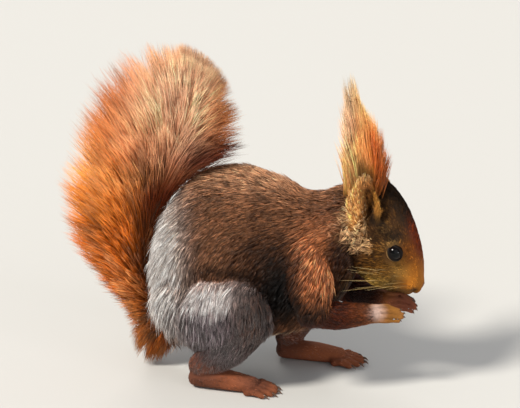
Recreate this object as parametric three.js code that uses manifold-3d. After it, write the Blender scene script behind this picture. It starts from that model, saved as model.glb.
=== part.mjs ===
// A red squirrel, sitting up on its hind feet with its hands at its mouth and its tail raised behind its
// back. Life size, in millimetres. +X is the way the squirrel faces, +Y its left, +Z up. The coat counts as
// solid: each shape is the outline of the hair, out to its tips. The origin is the middle of the base of the
// bounding box.
import * as THREE from "three";
import { mergeVertices } from "three/addons/utils/BufferGeometryUtils.js";
import Module from "manifold-3d";

const wasm = await Module();
wasm.setup();

// ---------------------------------------------------------------- driving sizes
const GAP = 0.3; // clear space between two neighbouring parts
const RIGHT = -1; // the sign of Y on the squirrel's right side
const LEFT = 1;

// A rib is [back x, back z, belly x, belly z, half width]: one cross-section of the body between its back
// line and its belly line. start and end are the rounded ends, beyond the first and the last rib.
const TRUNK = {
  start: [-56, 36],
  ribs: [
    [-60, 50, -46, 14, 18],
    [-59, 75, -30, 12, 27],
    [-50, 99.5, -12, 17, 31.5],
    [-33, 117, 4, 22, 34],
    [-9, 122, 19, 25, 33],
    [11, 117, 33, 31, 29.5],
    [27, 110, 45, 43, 24.5],
    [40, 111, 54, 58, 21],
    [52, 117, 61, 72, 18],
  ],
  end: [66, 98],
};
const NECK_CUT = { back: [33, 114], belly: [50, 54] }; // where the neck meets the trunk

const HEAD = {
  start: [49.5, 103],
  ribs: [
    [54, 117.5, 50.5, 86, 15],
    [65, 121.5, 53.5, 72, 17.6],
    [75, 117.5, 60, 63, 18.4],
    [83.5, 107, 67.5, 58.5, 16.8],
    [89.5, 94, 74.5, 56, 13.4],
    [93, 81.5, 80.5, 55.4, 10],
    [94.2, 71, 85.5, 55.4, 7.6],
    [94.2, 64, 89, 56, 5.4],
  ],
  end: [93.6, 58.6],
};
const EYE = { at: [80.1, 11.4, 82.8], radius: 4.8 };

// The pinna is a leaf between its rear edge and its front edge. Its tuft wraps the upper half.
const EAR = {
  start: [63, 92],
  ribs: [
    [56, 98, 71.5, 95, 3.6],
    [54, 109, 75, 106, 3.8],
    [55.5, 120, 74, 117.5, 3],
    [60, 128, 70.5, 126.5, 2],
  ],
  end: [66, 131.5],
};
// Each ear stands y from the middle, leans outwards and turns back by so many degrees, and has a tuft of
// that share of the full height.
const EAR_SET = {
  right: { y: 14, lean: 4, back: 0, tall: 1 },
  left: { y: 14, lean: 2, back: 8, tall: 0.78 },
};
const EAR_ROOT = [64, 100]; // the point the ear leans and turns about
const TUFT = {
  start: [64, 117],
  ribs: [
    [51.5, 125, 75.5, 123, 5],
    [48.5, 138, 76.5, 136, 5.2],
    [47.5, 151, 73.5, 149, 4.6],
    [49.5, 163, 68.5, 161, 3.6],
    [52, 174, 61.5, 172, 2.2],
  ],
  end: [55.5, 185],
};

// A limb is a chain of joints [x, y from the middle, z, radius]. flat is its width over its height.
const ARM = {
  right: {
    upper: [[32, 15, 84, 12], [36, 21, 68, 14], [39, 25, 52, 11]],
    fore: [[38, 25, 49, 9.5], [51, 19, 46.2, 8.8], [64, 12, 45.8, 7.2]],
    hand: [67, 10.6, 45.8],
  },
  left: {
    upper: [[33, 15, 84, 12], [38, 21, 69, 14], [43, 24, 54, 11]],
    fore: [[43, 24, 50, 9.5], [56, 17, 47, 8.2], [69, 10, 47.5, 6]],
    hand: [72, 8.6, 47.5],
  },
};
const LEG = {
  right: {
    thigh: [[-37, 19, 45, 22.5], [-21, 24, 42.5, 25], [-1, 27, 46, 19.5]],
    shank: [[6, 28, 40, 13], [-8, 28, 26, 13.5], [-23, 27, 12.5, 9.5]],
    heel: [-32, 26],
  },
  left: {
    thigh: [[-37, 19, 46, 22.5], [-12, 24, 44, 24], [10, 27, 46, 19]],
    shank: [[19, 29, 42, 12.5], [17, 28.5, 27, 13], [12, 27, 13, 9.5]],
    heel: [4, 26],
  },
};
const UPPER_ARM_FLAT = 0.8;
const SHANK_FLAT = 0.75;
const THIGH_FLAT = 0.62; // a haunch is a flat mass against the flank

const HAND = {
  palm: 10,
  height: 6.6,
  thickness: 4,
  fingers: 4,
  finger: 10.5,
  spread: 8.6, // from the lowest finger's root to the highest's
  radius: 1.5,
  claw: 2,
};
const FOOT = {
  length: 54,
  height: 6,
  flat: 1.35,
  toes: 5,
  toe: 13,
  spread: 13, // from the inner toe's root to the outer's
  splay: 24, // degrees between the inner toe and the outer
  radius: 2.3,
  claw: 4,
};
const SINK = 0.7; // soles are cut off this far above their lowest point, so that they stand on flats

// The tail's ribs run from its outer edge to its inner edge, the one by the squirrel's back.
const TAIL = {
  start: [-46, 20],
  ribs: [
    [-50, 3, -49, 34, 11],
    [-65, -2, -57, 42, 14],
    [-77, 29, -61, 52, 16.5],
    [-96, 53, -62, 64, 19.5],
    [-111, 76, -60, 78, 21.5],
    [-113.5, 100, -56, 93, 23],
    [-109, 124, -47, 109, 23.5],
    [-100, 147, -35, 121, 23.5],
    [-88.5, 166, -20, 124, 22],
    [-75, 179, -7, 131, 19.5],
    [-60, 186, -7, 147, 16],
    [-44, 187, -14, 166, 11],
  ],
  end: [-29, 181],
};
const TAIL_CUTS = [
  { inner: [-55, 84], outer: [-120, 88] },
  { inner: [0, 118], outer: [-125, 146] },
];

// ---------------------------------------------------------------- shapes
const v3 = (x, y, z) => new THREE.Vector3(x, y, z);

// A closed solid from a sphere's net: place(ring, turn) gives the point of each ring at each angle, and the
// first and last ring are single points.
function netted(rings, around, place) {
  const net = new THREE.SphereGeometry(1, around, rings - 1);
  const { position, uv } = net.attributes;
  for (let i = 0; i < position.count; i++) {
    const ring = Math.round((1 - uv.getY(i)) * (rings - 1));
    const turn = Math.round(uv.getX(i) * around) / around;
    const p = place(ring, turn * 2 * Math.PI);
    position.setXYZ(i, p.x, p.y, p.z);
  }
  return solidOf(net);
}

// A closed three.js geometry as a manifold-3d solid.
function solidOf(geometry) {
  const bare = geometry.clone();
  bare.deleteAttribute("normal");
  bare.deleteAttribute("uv");
  const merged = mergeVertices(bare, 1e-4);
  return new wasm.Manifold(
    new wasm.Mesh({
      numProp: 3,
      vertProperties: new Float32Array(merged.attributes.position.array),
      triVerts: new Uint32Array(merged.index.array),
    }),
  );
}

// Rings of a surface with round ends: each ring is a place along the stations and a share of the full size.
// In the caps, beyond tells how far a ring lies past the first or last station, from 0 to 1.
function ringPlan(stations, perStation, cap = 3) {
  const plan = [];
  for (let i = 0; i < cap; i++) {
    const a = ((i / cap) * Math.PI) / 2;
    plan.push({ at: 0, beyond: -Math.cos(a), size: Math.sin(a) });
  }
  const steps = (stations - 1) * perStation;
  for (let i = 0; i <= steps; i++) plan.push({ at: i / steps, beyond: 0, size: 1 });
  for (let i = cap - 1; i >= 0; i--) {
    const a = ((i / cap) * Math.PI) / 2;
    plan.push({ at: 1, beyond: Math.cos(a), size: Math.sin(a) });
  }
  return plan;
}

// A body through ribs: back line, belly line and half width give an ellipse at each place.
function ribbed(spec, { extra = 0, around = 20, perStation = 2, cap = 3 } = {}) {
  const back = new THREE.CatmullRomCurve3(spec.ribs.map((r) => v3(r[0], r[4], r[1])));
  const belly = new THREE.CatmullRomCurve3(spec.ribs.map((r) => v3(r[2], r[4], r[3])));
  const plan = ringPlan(spec.ribs.length, perStation, cap);
  const tip = { "-1": v3(spec.start[0], 0, spec.start[1]), 1: v3(spec.end[0], 0, spec.end[1]) };
  return netted(plan.length, around, (ring, turn) => {
    const { at, beyond, size } = plan[ring];
    const b = back.getPoint(at);
    const u = belly.getPoint(at);
    const width = b.y + extra;
    b.y = 0;
    u.y = 0;
    const centre = b.clone().add(u).multiplyScalar(0.5);
    const up = b.clone().sub(u);
    const half = up.length() / 2 + extra;
    up.normalize();
    if (beyond) {
      const reach = tip[Math.sign(beyond)].clone().sub(centre);
      reach.setLength(reach.length() + extra);
      centre.addScaledVector(reach, Math.abs(beyond));
    }
    return centre
      .addScaledVector(up, half * size * Math.cos(turn))
      .add(v3(0, width * size * Math.sin(turn), 0));
  });
}

// A tube through joints [x, y, z, radius] with round ends. flat widens it sideways.
function limb(joints, { extra = 0, around = 12, perStation = 2, cap = 2, flat = 1 } = {}) {
  const path = new THREE.CatmullRomCurve3(joints.map((j) => v3(j[0], j[1], j[2])));
  const size = new THREE.CatmullRomCurve3(joints.map((j) => v3(j[3], 0, 0)));
  const plan = ringPlan(joints.length, perStation, cap);
  return netted(plan.length, around, (ring, turn) => {
    const { at, beyond, size: share } = plan[ring];
    const forward = path.getTangent(at);
    const radius = size.getPoint(at).x + extra;
    const side = v3(0, 1, 0).addScaledVector(forward, -forward.y).normalize();
    const top = forward.clone().cross(side);
    return path
      .getPoint(at)
      .addScaledVector(forward, radius * beyond)
      .addScaledVector(top, radius * share * Math.cos(turn))
      .addScaledVector(side, radius * flat * share * Math.sin(turn));
  });
}

// An eyeball.
const ball = (at, radius) => solidOf(new THREE.SphereGeometry(radius, 12, 8)).translate(at);

// The part of a solid on one side of a line in the XZ plane, less half the gap. The wall stands along Y.
function cutAt(solid, [x0, z0], [x1, z1], side) {
  const along = v3(x1 - x0, 0, z1 - z0).normalize();
  const normal = v3(-along.z, 0, along.x).multiplyScalar(side);
  const big = new THREE.BoxGeometry(400, 400, 400);
  big.translate(0, 0, 200 + GAP / 2);
  big.applyQuaternion(new THREE.Quaternion().setFromUnitVectors(v3(0, 0, 1), normal));
  big.translate(x0, 0, z0);
  return solid.intersect(solidOf(big));
}

// A solid without what lies under the floor.
function onFloor(solid) {
  const ground = new THREE.BoxGeometry(600, 600, 100);
  ground.translate(0, 0, -50);
  return solid.subtract(solidOf(ground));
}

// A solid with room cut for its neighbours, and without the crumbs that leaves.
function carved(solid, ...neighbours) {
  const left = neighbours.reduce((s, n) => s.subtract(n), solid);
  return left.decompose().sort((a, b) => b.volume() - a.volume())[0];
}

// ---------------------------------------------------------------- parts
const mirrored = (joints, side) => joints.map(([x, y, z, r]) => [x, side * y, z, r]);

// A finger or toe from its root over its knuckle to its tip, with a claw that runs on to a point.
function digit({ root, knuckle, tip, point }, radius, extra) {
  const plain = { extra, perStation: 1, cap: 1 };
  const flesh = limb(
    [
      [...root, radius * 1.1],
      [...knuckle, radius],
      [...tip, radius * 0.85],
    ],
    { ...plain, around: 6 },
  );
  const claw = [
    [...tip, radius * 0.5],
    [...point, radius * 0.2],
  ];
  return flesh.add(limb(claw, { ...plain, around: 4 }));
}

// Where digit i of a row lies, from -0.5 to 0.5.
const shareOf = (i, count) => i / (count - 1) - 0.5;

// A hand with its back outwards: a palm, and fingers one above the other that curl inwards.
function hand([x, y, z], side, extra = 0) {
  const { palm, height, thickness, fingers, finger, spread, radius, claw } = HAND;
  const inward = -side;
  let made = limb(
    [
      [x - palm * 0.3, side * (y + 0.6), z, height * 0.8],
      [x + palm * 0.4, side * y, z + 0.2, height],
      [x + palm, side * (y - 1.2), z + 0.8, height * 0.86],
    ],
    { extra, flat: thickness / height, around: 10, perStation: 1 },
  );
  for (let i = 0; i < fingers; i++) {
    const share = shareOf(i, fingers); // from the lowest finger to the highest
    const long = finger * (1 - 0.5 * share * share);
    const root = v3(x + palm * 0.85, side * (y - 1), z + 0.8 + share * spread);
    const knuckle = root.clone().add(v3(long * 0.5, inward * 0.4, share * 0.6 + 0.6));
    const tip = root.clone().add(v3(long * 0.92, inward * long * 0.32, share * -1.8 - 0.6));
    const point = tip.clone().add(v3(claw * 0.6, inward * claw * 0.75, -0.6));
    made = made.add(digit({ root, knuckle, tip, point }, radius, extra));
  }
  return made;
}

// A long hind foot flat on the ground, with toes that spread from its ball.
function foot([x, y], side, extra = 0) {
  const { length, height, flat, toes, toe, spread, splay, radius, claw } = FOOT;
  const ballOfFoot = x + length - toe - claw;
  let made = limb(
    [
      [x + height, side * y, height - SINK, height],
      [x + length * 0.4, side * (y + 0.4), height - SINK, height],
      [ballOfFoot, side * (y + 1), height * 0.8 - SINK, height * 0.8],
    ],
    { extra, flat, perStation: 1 },
  );
  for (let i = 0; i < toes; i++) {
    const share = shareOf(i, toes); // from the inner toe to the outer
    const long = toe * (1.08 - 1.5 * share * share);
    const turn = side * share * THREE.MathUtils.degToRad(splay);
    const out = v3(Math.cos(turn), Math.sin(turn), 0);
    const root = v3(ballOfFoot - 1, side * (y + 1 + share * spread), radius * 1.25 - SINK);
    const tip = root.clone().addScaledVector(out, long).setZ(radius * 0.85 - SINK / 2);
    const knuckle = root.clone().lerp(tip, 0.5).setZ(radius * 1.6 - SINK);
    const point = tip.clone().addScaledVector(out, claw).setZ(radius * 0.2);
    made = made.add(digit({ root, knuckle, tip, point }, radius, extra));
  }
  return onFloor(made);
}

// An ear or its tuft: a leaf set beside the middle, leant outwards and turned back about the ear's root.
function leaf(spec, { y, lean, back, tall }, side, options) {
  const [x, z] = EAR_ROOT;
  const low = spec.start[1];
  return ribbed(spec, options)
    .translate([-x, 0, -low])
    .scale([1, 1, tall])
    .translate([0, 0, low - z])
    .rotate([-side * lean, -back, 0])
    .translate([x, side * y, z]);
}

// ---------------------------------------------------------------- materials
const coat = (name, colour) =>
  new THREE.MeshStandardMaterial({ name, color: colour, roughness: 0.85, metalness: 0 });
const BROWN = coat("brown_coat", 0x4a3226);
const GREY = coat("grey_brown_coat", 0x5f5257);
const RUST = coat("rust_coat", 0x8d4521);
const TAIL_RUST = coat("tail_coat", 0xb05a2a);
const OCHRE = coat("ochre_coat", 0x8a6238);
const BARE_SKIN = coat("bare_skin", 0xa3674a);
const BLACK_EYE = new THREE.MeshStandardMaterial({
  name: "eye",
  color: 0x0a0706,
  roughness: 0.05,
  metalness: 0,
});

// ---------------------------------------------------------------- the squirrel
const squirrel = new THREE.Group();
squirrel.name = "squirrel";

// Adds a solid to the squirrel as a named mesh.
function add(name, solid, material) {
  const { numProp, numVert, vertProperties, triVerts } = solid.getMesh();
  const places = new Float32Array(numVert * 3);
  for (let i = 0; i < numVert; i++)
    places.set(vertProperties.subarray(i * numProp, i * numProp + 3), i * 3);
  const geometry = new THREE.BufferGeometry();
  geometry.setAttribute("position", new THREE.BufferAttribute(places, 3));
  geometry.setIndex(new THREE.BufferAttribute(triVerts, 1));
  geometry.computeVertexNormals();
  const mesh = new THREE.Mesh(geometry, material);
  mesh.name = name;
  squirrel.add(mesh);
}

const headWith = (extra) => ribbed(HEAD, { extra, around: 16, cap: 2 });
const bodyWith = (extra) => ribbed(TRUNK, { extra, around: 18, cap: 2 });

// The next three add the parts of one side. They return what has to be cut from the parts in the middle.
function addEye(name, side) {
  const [x, y, z] = EYE.at;
  const eye = (extra) => ball([x, side * y, z], EYE.radius + extra);
  add(`eye_${name}`, eye(0), BLACK_EYE);
  return [eye(GAP)];
}

function addArm(name, side) {
  const { upper, fore, hand: wrist } = ARM[name];
  const upperArm = (extra) => limb(mirrored(upper, side), { extra, flat: UPPER_ARM_FLAT });
  const forearm = (extra) => limb(mirrored(fore, side), { extra });
  const palm = (extra) => hand(wrist, side, extra);
  add(`hand_${name}`, palm(0), BARE_SKIN);
  add(`forearm_${name}`, carved(forearm(0), palm(GAP)), RUST);
  add(`upper_arm_${name}`, carved(upperArm(0), forearm(GAP), palm(GAP)), RUST);
  return [upperArm(GAP), forearm(GAP), palm(GAP)];
}

function addLeg(name, side) {
  const leg = LEG[name];
  const around = 16;
  const thigh = (extra) => limb(mirrored(leg.thigh, side), { extra, flat: THIGH_FLAT, around });
  const shank = (extra) => limb(mirrored(leg.shank, side), { extra, flat: SHANK_FLAT });
  const sole = (extra) => foot(leg.heel, side, extra);
  add(`foot_${name}`, sole(0), RUST);
  add(`shank_${name}`, carved(onFloor(shank(0)), sole(GAP)), GREY);
  add(`thigh_${name}`, carved(thigh(0), shank(GAP), sole(GAP)), GREY);
  return [thigh(GAP), shank(GAP), sole(GAP)];
}

function addEar(name, side) {
  const set = EAR_SET[name];
  const plain = { around: 12, perStation: 1, cap: 2 };
  const ear = (extra) => leaf(EAR, { ...set, tall: 1 }, side, { ...plain, extra });
  add(`ear_${name}`, carved(ear(0), headWith(GAP), bodyWith(GAP)), OCHRE);
  const tuft = leaf(TUFT, set, side, plain);
  add(`ear_tuft_${name}`, carved(tuft, ear(GAP), headWith(GAP)), RUST);
}

function addTail() {
  const plume = carved(onFloor(ribbed(TAIL, { around: 16, perStation: 1 })), bodyWith(GAP));
  const [low, high] = TAIL_CUTS;
  const above = cutAt(plume, low.inner, low.outer, -1);
  add("tail_base", carved(cutAt(plume, low.inner, low.outer, 1)), TAIL_RUST);
  add("tail_middle", carved(cutAt(above, high.inner, high.outer, 1)), TAIL_RUST);
  add("tail_tip", carved(cutAt(above, high.inner, high.outer, -1)), TAIL_RUST);
}

const SIDES = [
  ["right", RIGHT],
  ["left", LEFT],
];
const limbs = SIDES.flatMap(([name, side]) => [...addArm(name, side), ...addLeg(name, side)]);
const eyes = SIDES.flatMap(([name, side]) => addEye(name, side));
SIDES.forEach(([name, side]) => addEar(name, side));
add("head", carved(headWith(0), ...eyes), OCHRE);
const front = cutAt(bodyWith(0), NECK_CUT.back, NECK_CUT.belly, 1);
add("neck", carved(front, headWith(GAP), ...limbs), BROWN);
add("trunk", carved(cutAt(bodyWith(0), NECK_CUT.back, NECK_CUT.belly, -1), ...limbs), BROWN);
addTail();

// The origin is the middle of the base of the bounding box.
const box = new THREE.Box3().setFromObject(squirrel);
const middle = box.getCenter(v3(0, 0, 0));
squirrel.position.set(-middle.x, -middle.y, -box.min.z);

export default squirrel;
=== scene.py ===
"""A life-size red squirrel that sits up to eat.

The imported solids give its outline, out to the tips of the coat. This script dresses them: one skin that
lies inside them by the depth of the coat, tufts of fur over it, the brush, the ear tufts, eyes with their
lids, a nose, claws and whiskers. Sizes are in millimetres in the squirrel's own frame (X forwards, Y to its
left, Z up), which placed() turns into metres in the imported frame.
"""
import logging
from dataclasses import dataclass, field
from enum import Enum

import bpy
import numpy as np
from mathutils import Matrix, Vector
from mathutils.kdtree import KDTree


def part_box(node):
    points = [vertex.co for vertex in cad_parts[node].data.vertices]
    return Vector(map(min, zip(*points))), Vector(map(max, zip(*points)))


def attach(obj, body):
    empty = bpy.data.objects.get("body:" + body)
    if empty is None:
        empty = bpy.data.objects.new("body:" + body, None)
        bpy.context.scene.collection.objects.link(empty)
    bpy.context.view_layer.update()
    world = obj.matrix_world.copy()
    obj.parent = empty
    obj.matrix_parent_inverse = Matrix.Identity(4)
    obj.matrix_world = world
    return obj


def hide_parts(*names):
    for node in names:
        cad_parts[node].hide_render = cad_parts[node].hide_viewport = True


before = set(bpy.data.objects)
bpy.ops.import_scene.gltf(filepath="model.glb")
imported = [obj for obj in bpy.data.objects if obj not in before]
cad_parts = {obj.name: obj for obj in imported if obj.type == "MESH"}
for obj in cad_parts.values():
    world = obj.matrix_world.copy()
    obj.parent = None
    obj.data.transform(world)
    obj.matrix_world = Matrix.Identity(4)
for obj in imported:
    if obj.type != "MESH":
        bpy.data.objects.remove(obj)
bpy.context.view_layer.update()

log = logging.getLogger("squirrel")
MM = 0.001
FULL_TURN = 2 * np.pi
ACROSS = np.array([0.0, 1.0, 0.0])
EYE_AT = (80.1, 11.4, 82.8)
EYE_RADIUS = 4.6
LASH_GAP = 0.75  # how far from the eye the coat starts
NOSE_TIP = (94.0, 0, 61.8)
PATCH = 0.003  # how far a tuft's patch reaches on the baking map
CAP = 0.14  # how far past the last rib the places in an end's cap run


class Side(Enum):
    """A side of the body, with the sign of Y on it."""

    RIGHT = -1
    LEFT = 1


class Region(Enum):
    """A stretch of the body whose coat has its own lie and colours."""

    TRUNK = 0
    HEAD = 1
    UPPER_ARM = 2
    FOREARM = 3
    HAND = 4
    FINGER = 5
    THIGH = 6
    SHANK = 7
    FOOT = 8
    EAR = 9
    DOCK = 10


# ---------------------------------------------------------------------- small sums
def unit(vectors: np.ndarray) -> np.ndarray:
    """Vectors over their own length."""
    return vectors / np.maximum(np.linalg.norm(vectors, axis=-1, keepdims=True), 1e-9)


def folded(points: np.ndarray) -> np.ndarray:
    """Points moved to the left side: Y without its sign, so that one rule serves both sides."""
    return points * [1, 0, 1] + np.abs(points * [0, 1, 0])


def eased(share: np.ndarray) -> np.ndarray:
    """A share held to 0..1 and eased at both ends: 3 s squared less 2 s cubed."""
    held = np.clip(share, 0.0, 1.0)
    return held * held * (3 - 2 * held)


def tint(code: str) -> np.ndarray:
    """A colour written as six hex digits, in linear light: each channel to the power 2.2."""
    return np.array([int(code[i:i + 2], 16) / 255 for i in (0, 2, 4)]) ** 2.2


def own_origin() -> np.ndarray:
    """Where the squirrel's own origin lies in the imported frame, in metres, found from its two eye nodes."""
    eyes = [np.array(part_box(f"eye_{side.name.lower()}")).mean(axis=0) for side in Side]
    return np.mean(eyes, axis=0) - MM * np.array([EYE_AT[0], 0.0, EYE_AT[2]])


ORIGIN = own_origin()


def placed(points: np.ndarray) -> np.ndarray:
    """Points of the squirrel's own frame, in millimetres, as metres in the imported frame."""
    return points * MM + ORIGIN


def nearest(centres: np.ndarray, points: np.ndarray) -> np.ndarray:
    """The number of the closest centre to each point."""
    tree = KDTree(len(centres))
    for number, centre in enumerate(centres):
        tree.insert(centre, number)
    tree.balance()
    return np.array([tree.find(point)[1] for point in points], dtype=np.int64)


# ---------------------------------------------------------------------- curves and forms
@dataclass(frozen=True)
class Spline:
    """A centripetal Catmull-Rom curve through rows of numbers."""

    rows: tuple

    def at(self, share: np.ndarray) -> np.ndarray:
        """Rows at shares of the curve, where every stretch between two rows takes an equal share.

        Each stretch is a cubic. Its slope at an end is the sum of the slopes to the neighbours on both
        sides less the slope between them, with each gap measured as the root of its length.

        Args:
            share: places from 0 to 1.
        Returns:
            One row for each share.
        """
        rows = np.asarray(self.rows, float)
        ends = np.vstack([2 * rows[0] - rows[1], rows, 2 * rows[-1] - rows[-2]])
        gaps = np.sqrt(np.linalg.norm(np.diff(ends, axis=0), axis=1))
        scaled = np.clip(share, 0, 1) * (len(rows) - 1)
        k = np.minimum(scaled.astype(int), len(rows) - 2)
        w = (scaled - k)[:, None]
        a, b, c, d = (ends[k + i] for i in range(4))
        before, within, after = (gaps[k + i][:, None] for i in range(3))
        within = np.where(within < 1e-4, 1.0, within)
        before = np.where(before < 1e-4, within, before)
        after = np.where(after < 1e-4, within, after)
        leave = within * ((b - a) / before - (c - a) / (before + within) + (c - b) / within)
        arrive = within * ((c - b) / within - (d - b) / (within + after) + (d - c) / after)
        square = 3 * (c - b) - 2 * leave - arrive
        cube = 2 * (b - c) + leave + arrive
        return b + w * (leave + w * (square + w * cube))


@dataclass(frozen=True)
class Plan:
    """Rings of a form with round ends: the place of each, how far past an end it lies, and its share of
    full size.
    """

    along: np.ndarray
    beyond: np.ndarray
    size: np.ndarray

    @staticmethod
    def of(stations: int, per_station: int, cap: int) -> "Plan":
        """Rings evenly along the stations, and cap rings on a quarter circle past each end."""
        quarter = np.arange(cap) / cap * np.pi / 2
        steps = (stations - 1) * per_station
        body = np.arange(steps + 1) / steps
        return Plan(
            np.concatenate([np.zeros(cap), body, np.ones(cap)]),
            np.concatenate([-np.cos(quarter), np.zeros(steps + 1), np.cos(quarter[::-1])]),
            np.concatenate([np.sin(quarter), np.ones(steps + 1), np.sin(quarter[::-1])]),
        )


@dataclass(frozen=True)
class Net:
    """A closed net of points, rings by turns, whose first and last rings are single points."""

    points: np.ndarray
    along: np.ndarray

    def mesh(self) -> tuple[np.ndarray, np.ndarray]:
        """The net's vertices and its outward triangles: a fan at each pole and two to a cell between."""
        rings, around = self.points.shape[:2]
        inner = self.points[1:-1].reshape(-1, 3)
        vertices = np.concatenate([self.points[0, :1], inner, self.points[-1, :1]])
        here = np.arange(around)
        after = (here + 1) % around
        row = 1 + around * np.arange(rings - 3)[:, None]
        a, b, c, d = row + here, row + after, row + around + after, row + around + here
        last = 1 + around * (rings - 3)
        fans = [
            np.stack([np.zeros(around, int), 1 + after, 1 + here], axis=1),
            np.stack([np.full(around, len(vertices) - 1), last + here, last + after], axis=1),
        ]
        cells = [np.stack(t, axis=-1).reshape(-1, 3) for t in ((a, b, c), (a, c, d))]
        return outward(vertices, np.concatenate(fans + cells))

    def samples(self) -> tuple[np.ndarray, np.ndarray, np.ndarray]:
        """Every point of the net with its turn and its place along, both from 0 to 1."""
        rings, around = self.points.shape[:2]
        turn = np.tile(np.arange(around) / around, rings)
        return self.points.reshape(-1, 3), turn, np.repeat(self.along, around)


def outward(points: np.ndarray, triangles: np.ndarray) -> tuple[np.ndarray, np.ndarray]:
    """A closed mesh with its faces out: all are turned round if the volume they sweep is below nothing."""
    a, b, c = (points[triangles[:, i]] for i in range(3))
    swept = np.einsum("ij,ij->", a, np.cross(b, c))
    return points, triangles if swept > 0 else triangles[:, ::-1]


def joined(meshes: list[tuple[np.ndarray, np.ndarray]]) -> tuple[np.ndarray, np.ndarray]:
    """Several meshes as one pair of vertices and triangles."""
    starts = np.cumsum([0] + [len(points) for points, _ in meshes])
    triangles = [faces + start for (_, faces), start in zip(meshes, starts)]
    return np.concatenate([points for points, _ in meshes]), np.concatenate(triangles)


@dataclass(frozen=True)
class Ribs:
    """A body through ribs [back x, back z, belly x, belly z, half width], with the coat's depth at each
    rib.
    """

    start: tuple[float, float]
    ribs: tuple
    end: tuple[float, float]
    coat: tuple = (0.0, 0.0)

    def spot(self, along: np.ndarray, turn: np.ndarray, share: np.ndarray) -> np.ndarray:
        """Points inside: at a place along, at an angle from the back, at a share of the way out to the
        surface.

        Past 1 the place is in the end's cap: there the rib shrinks as the root of 1 less the square of how
        far past it is, and its middle goes to the end by that share.
        """
        past = np.clip((along - 1) / CAP, 0, 0.96)
        back = Spline([(r[0], r[4], r[1]) for r in self.ribs]).at(along)
        belly = Spline([(r[2], r[4], r[3]) for r in self.ribs]).at(along)
        width = back[:, 1] * share * np.sqrt(1 - past**2)
        back[:, 1] = belly[:, 1] = 0
        middle = (back + belly) / 2
        half = (back - belly) / 2 * (share * np.cos(turn) * np.sqrt(1 - past**2))[:, None]
        middle += (np.array([self.end[0], 0, self.end[1]]) - middle) * past[:, None]
        return middle + half + ACROSS * (width * np.sin(turn))[:, None]

    def axis(self, along: np.ndarray) -> np.ndarray:
        """The way from the belly to the back at places along."""
        back = Spline([(r[0], 0, r[1]) for r in self.ribs]).at(along)
        return unit(back - Spline([(r[2], 0, r[3]) for r in self.ribs]).at(along))

    def net(self, per_station: int, around: int, cap: int) -> Net:
        """The body's surface, drawn in by the coat's depth.

        A rib is an ellipse: from its middle, half the way to the back times the cosine of the turn, and the
        half width times its sine. In a cap the ellipse shrinks as a sine while its middle goes to the end
        as a cosine.
        """
        plan = Plan.of(len(self.ribs), per_station, cap)
        turn = np.arange(around) / around * FULL_TURN
        depth = np.interp(plan.along, np.linspace(0, 1, len(self.coat)), self.coat)
        back = Spline([(r[0], r[4], r[1]) for r in self.ribs]).at(plan.along)
        belly = Spline([(r[2], r[4], r[3]) for r in self.ribs]).at(plan.along)
        width = back[:, 1] - depth
        back[:, 1] = belly[:, 1] = 0
        middle = (back + belly) / 2
        half = np.linalg.norm(back - belly, axis=1) / 2 - depth
        tip = np.where(plan.beyond[:, None] < 0, self.start, self.end)
        reach = np.stack([tip[:, 0], np.zeros(len(tip)), tip[:, 1]], axis=1) - middle
        far = np.linalg.norm(reach, axis=1)
        middle = middle + reach * (np.maximum(far - depth, 0.1) / far * np.abs(plan.beyond))[:, None]
        up = unit(back - belly) * (half * plan.size)[:, None]
        out = ACROSS * (width * plan.size)[:, None]
        points = middle[:, None] + up[:, None] * np.cos(turn)[:, None] + out[:, None] * np.sin(turn)[:, None]
        return Net(points, plan.along + 0.03 * plan.beyond)


@dataclass(frozen=True)
class Limb:
    """A tube through joints [x, y, z, radius] with round ends, flat times as wide as it is high."""

    joints: tuple
    flat: float = 1.0
    coat: tuple = (0.0, 0.0)

    def net(self, per_station: int, around: int, cap: int) -> Net:
        """The limb's surface, drawn in by the coat's depth.

        Each ring is an ellipse across the path: the radius times the cosine of the turn upwards, and the
        radius times flat and the sine sideways, where sideways is Y less its part along the path.
        """
        plan = Plan.of(len(self.joints), per_station, cap)
        turn = np.arange(around) / around * FULL_TURN
        depth = np.interp(plan.along, np.linspace(0, 1, len(self.coat)), self.coat)
        path = Spline([j[:3] for j in self.joints])
        radius = Spline([(j[3],) for j in self.joints]).at(plan.along)[:, 0] - depth
        step = 1e-3
        forward = unit(path.at(np.minimum(plan.along + step, 1)) - path.at(np.maximum(plan.along - step, 0)))
        side = unit(ACROSS - forward * forward[:, 1:2])
        top = np.cross(forward, side)
        middle = path.at(plan.along) + forward * (radius * plan.beyond)[:, None]
        tall = top * (radius * plan.size)[:, None]
        wide = side * (radius * self.flat * plan.size)[:, None]
        points = middle[:, None] + tall[:, None] * np.cos(turn)[:, None]
        points = points + wide[:, None] * np.sin(turn)[:, None]
        return Net(points, plan.along + 0.05 * plan.beyond)


@dataclass(frozen=True)
class Lump:
    """A swelling of flesh: an ellipsoid about a place, with its radii along X, Y and Z."""

    at: tuple[float, float, float]
    radii: tuple[float, float, float]

    def net(self, per_station: int, around: int, cap: int) -> Net:
        """The ellipsoid, its poles along Y."""
        rings = 2 * cap + per_station
        fall = np.linspace(0, np.pi, rings)[:, None]
        turn = np.arange(around) / around * FULL_TURN
        x, y, z = np.sin(fall) * np.cos(turn), -np.cos(fall) + 0 * turn, np.sin(fall) * np.sin(turn)
        ball = np.stack([x, y, z], axis=-1)
        return Net(np.array(self.at) + ball * np.array(self.radii), np.linspace(0, 1, rings))


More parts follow.
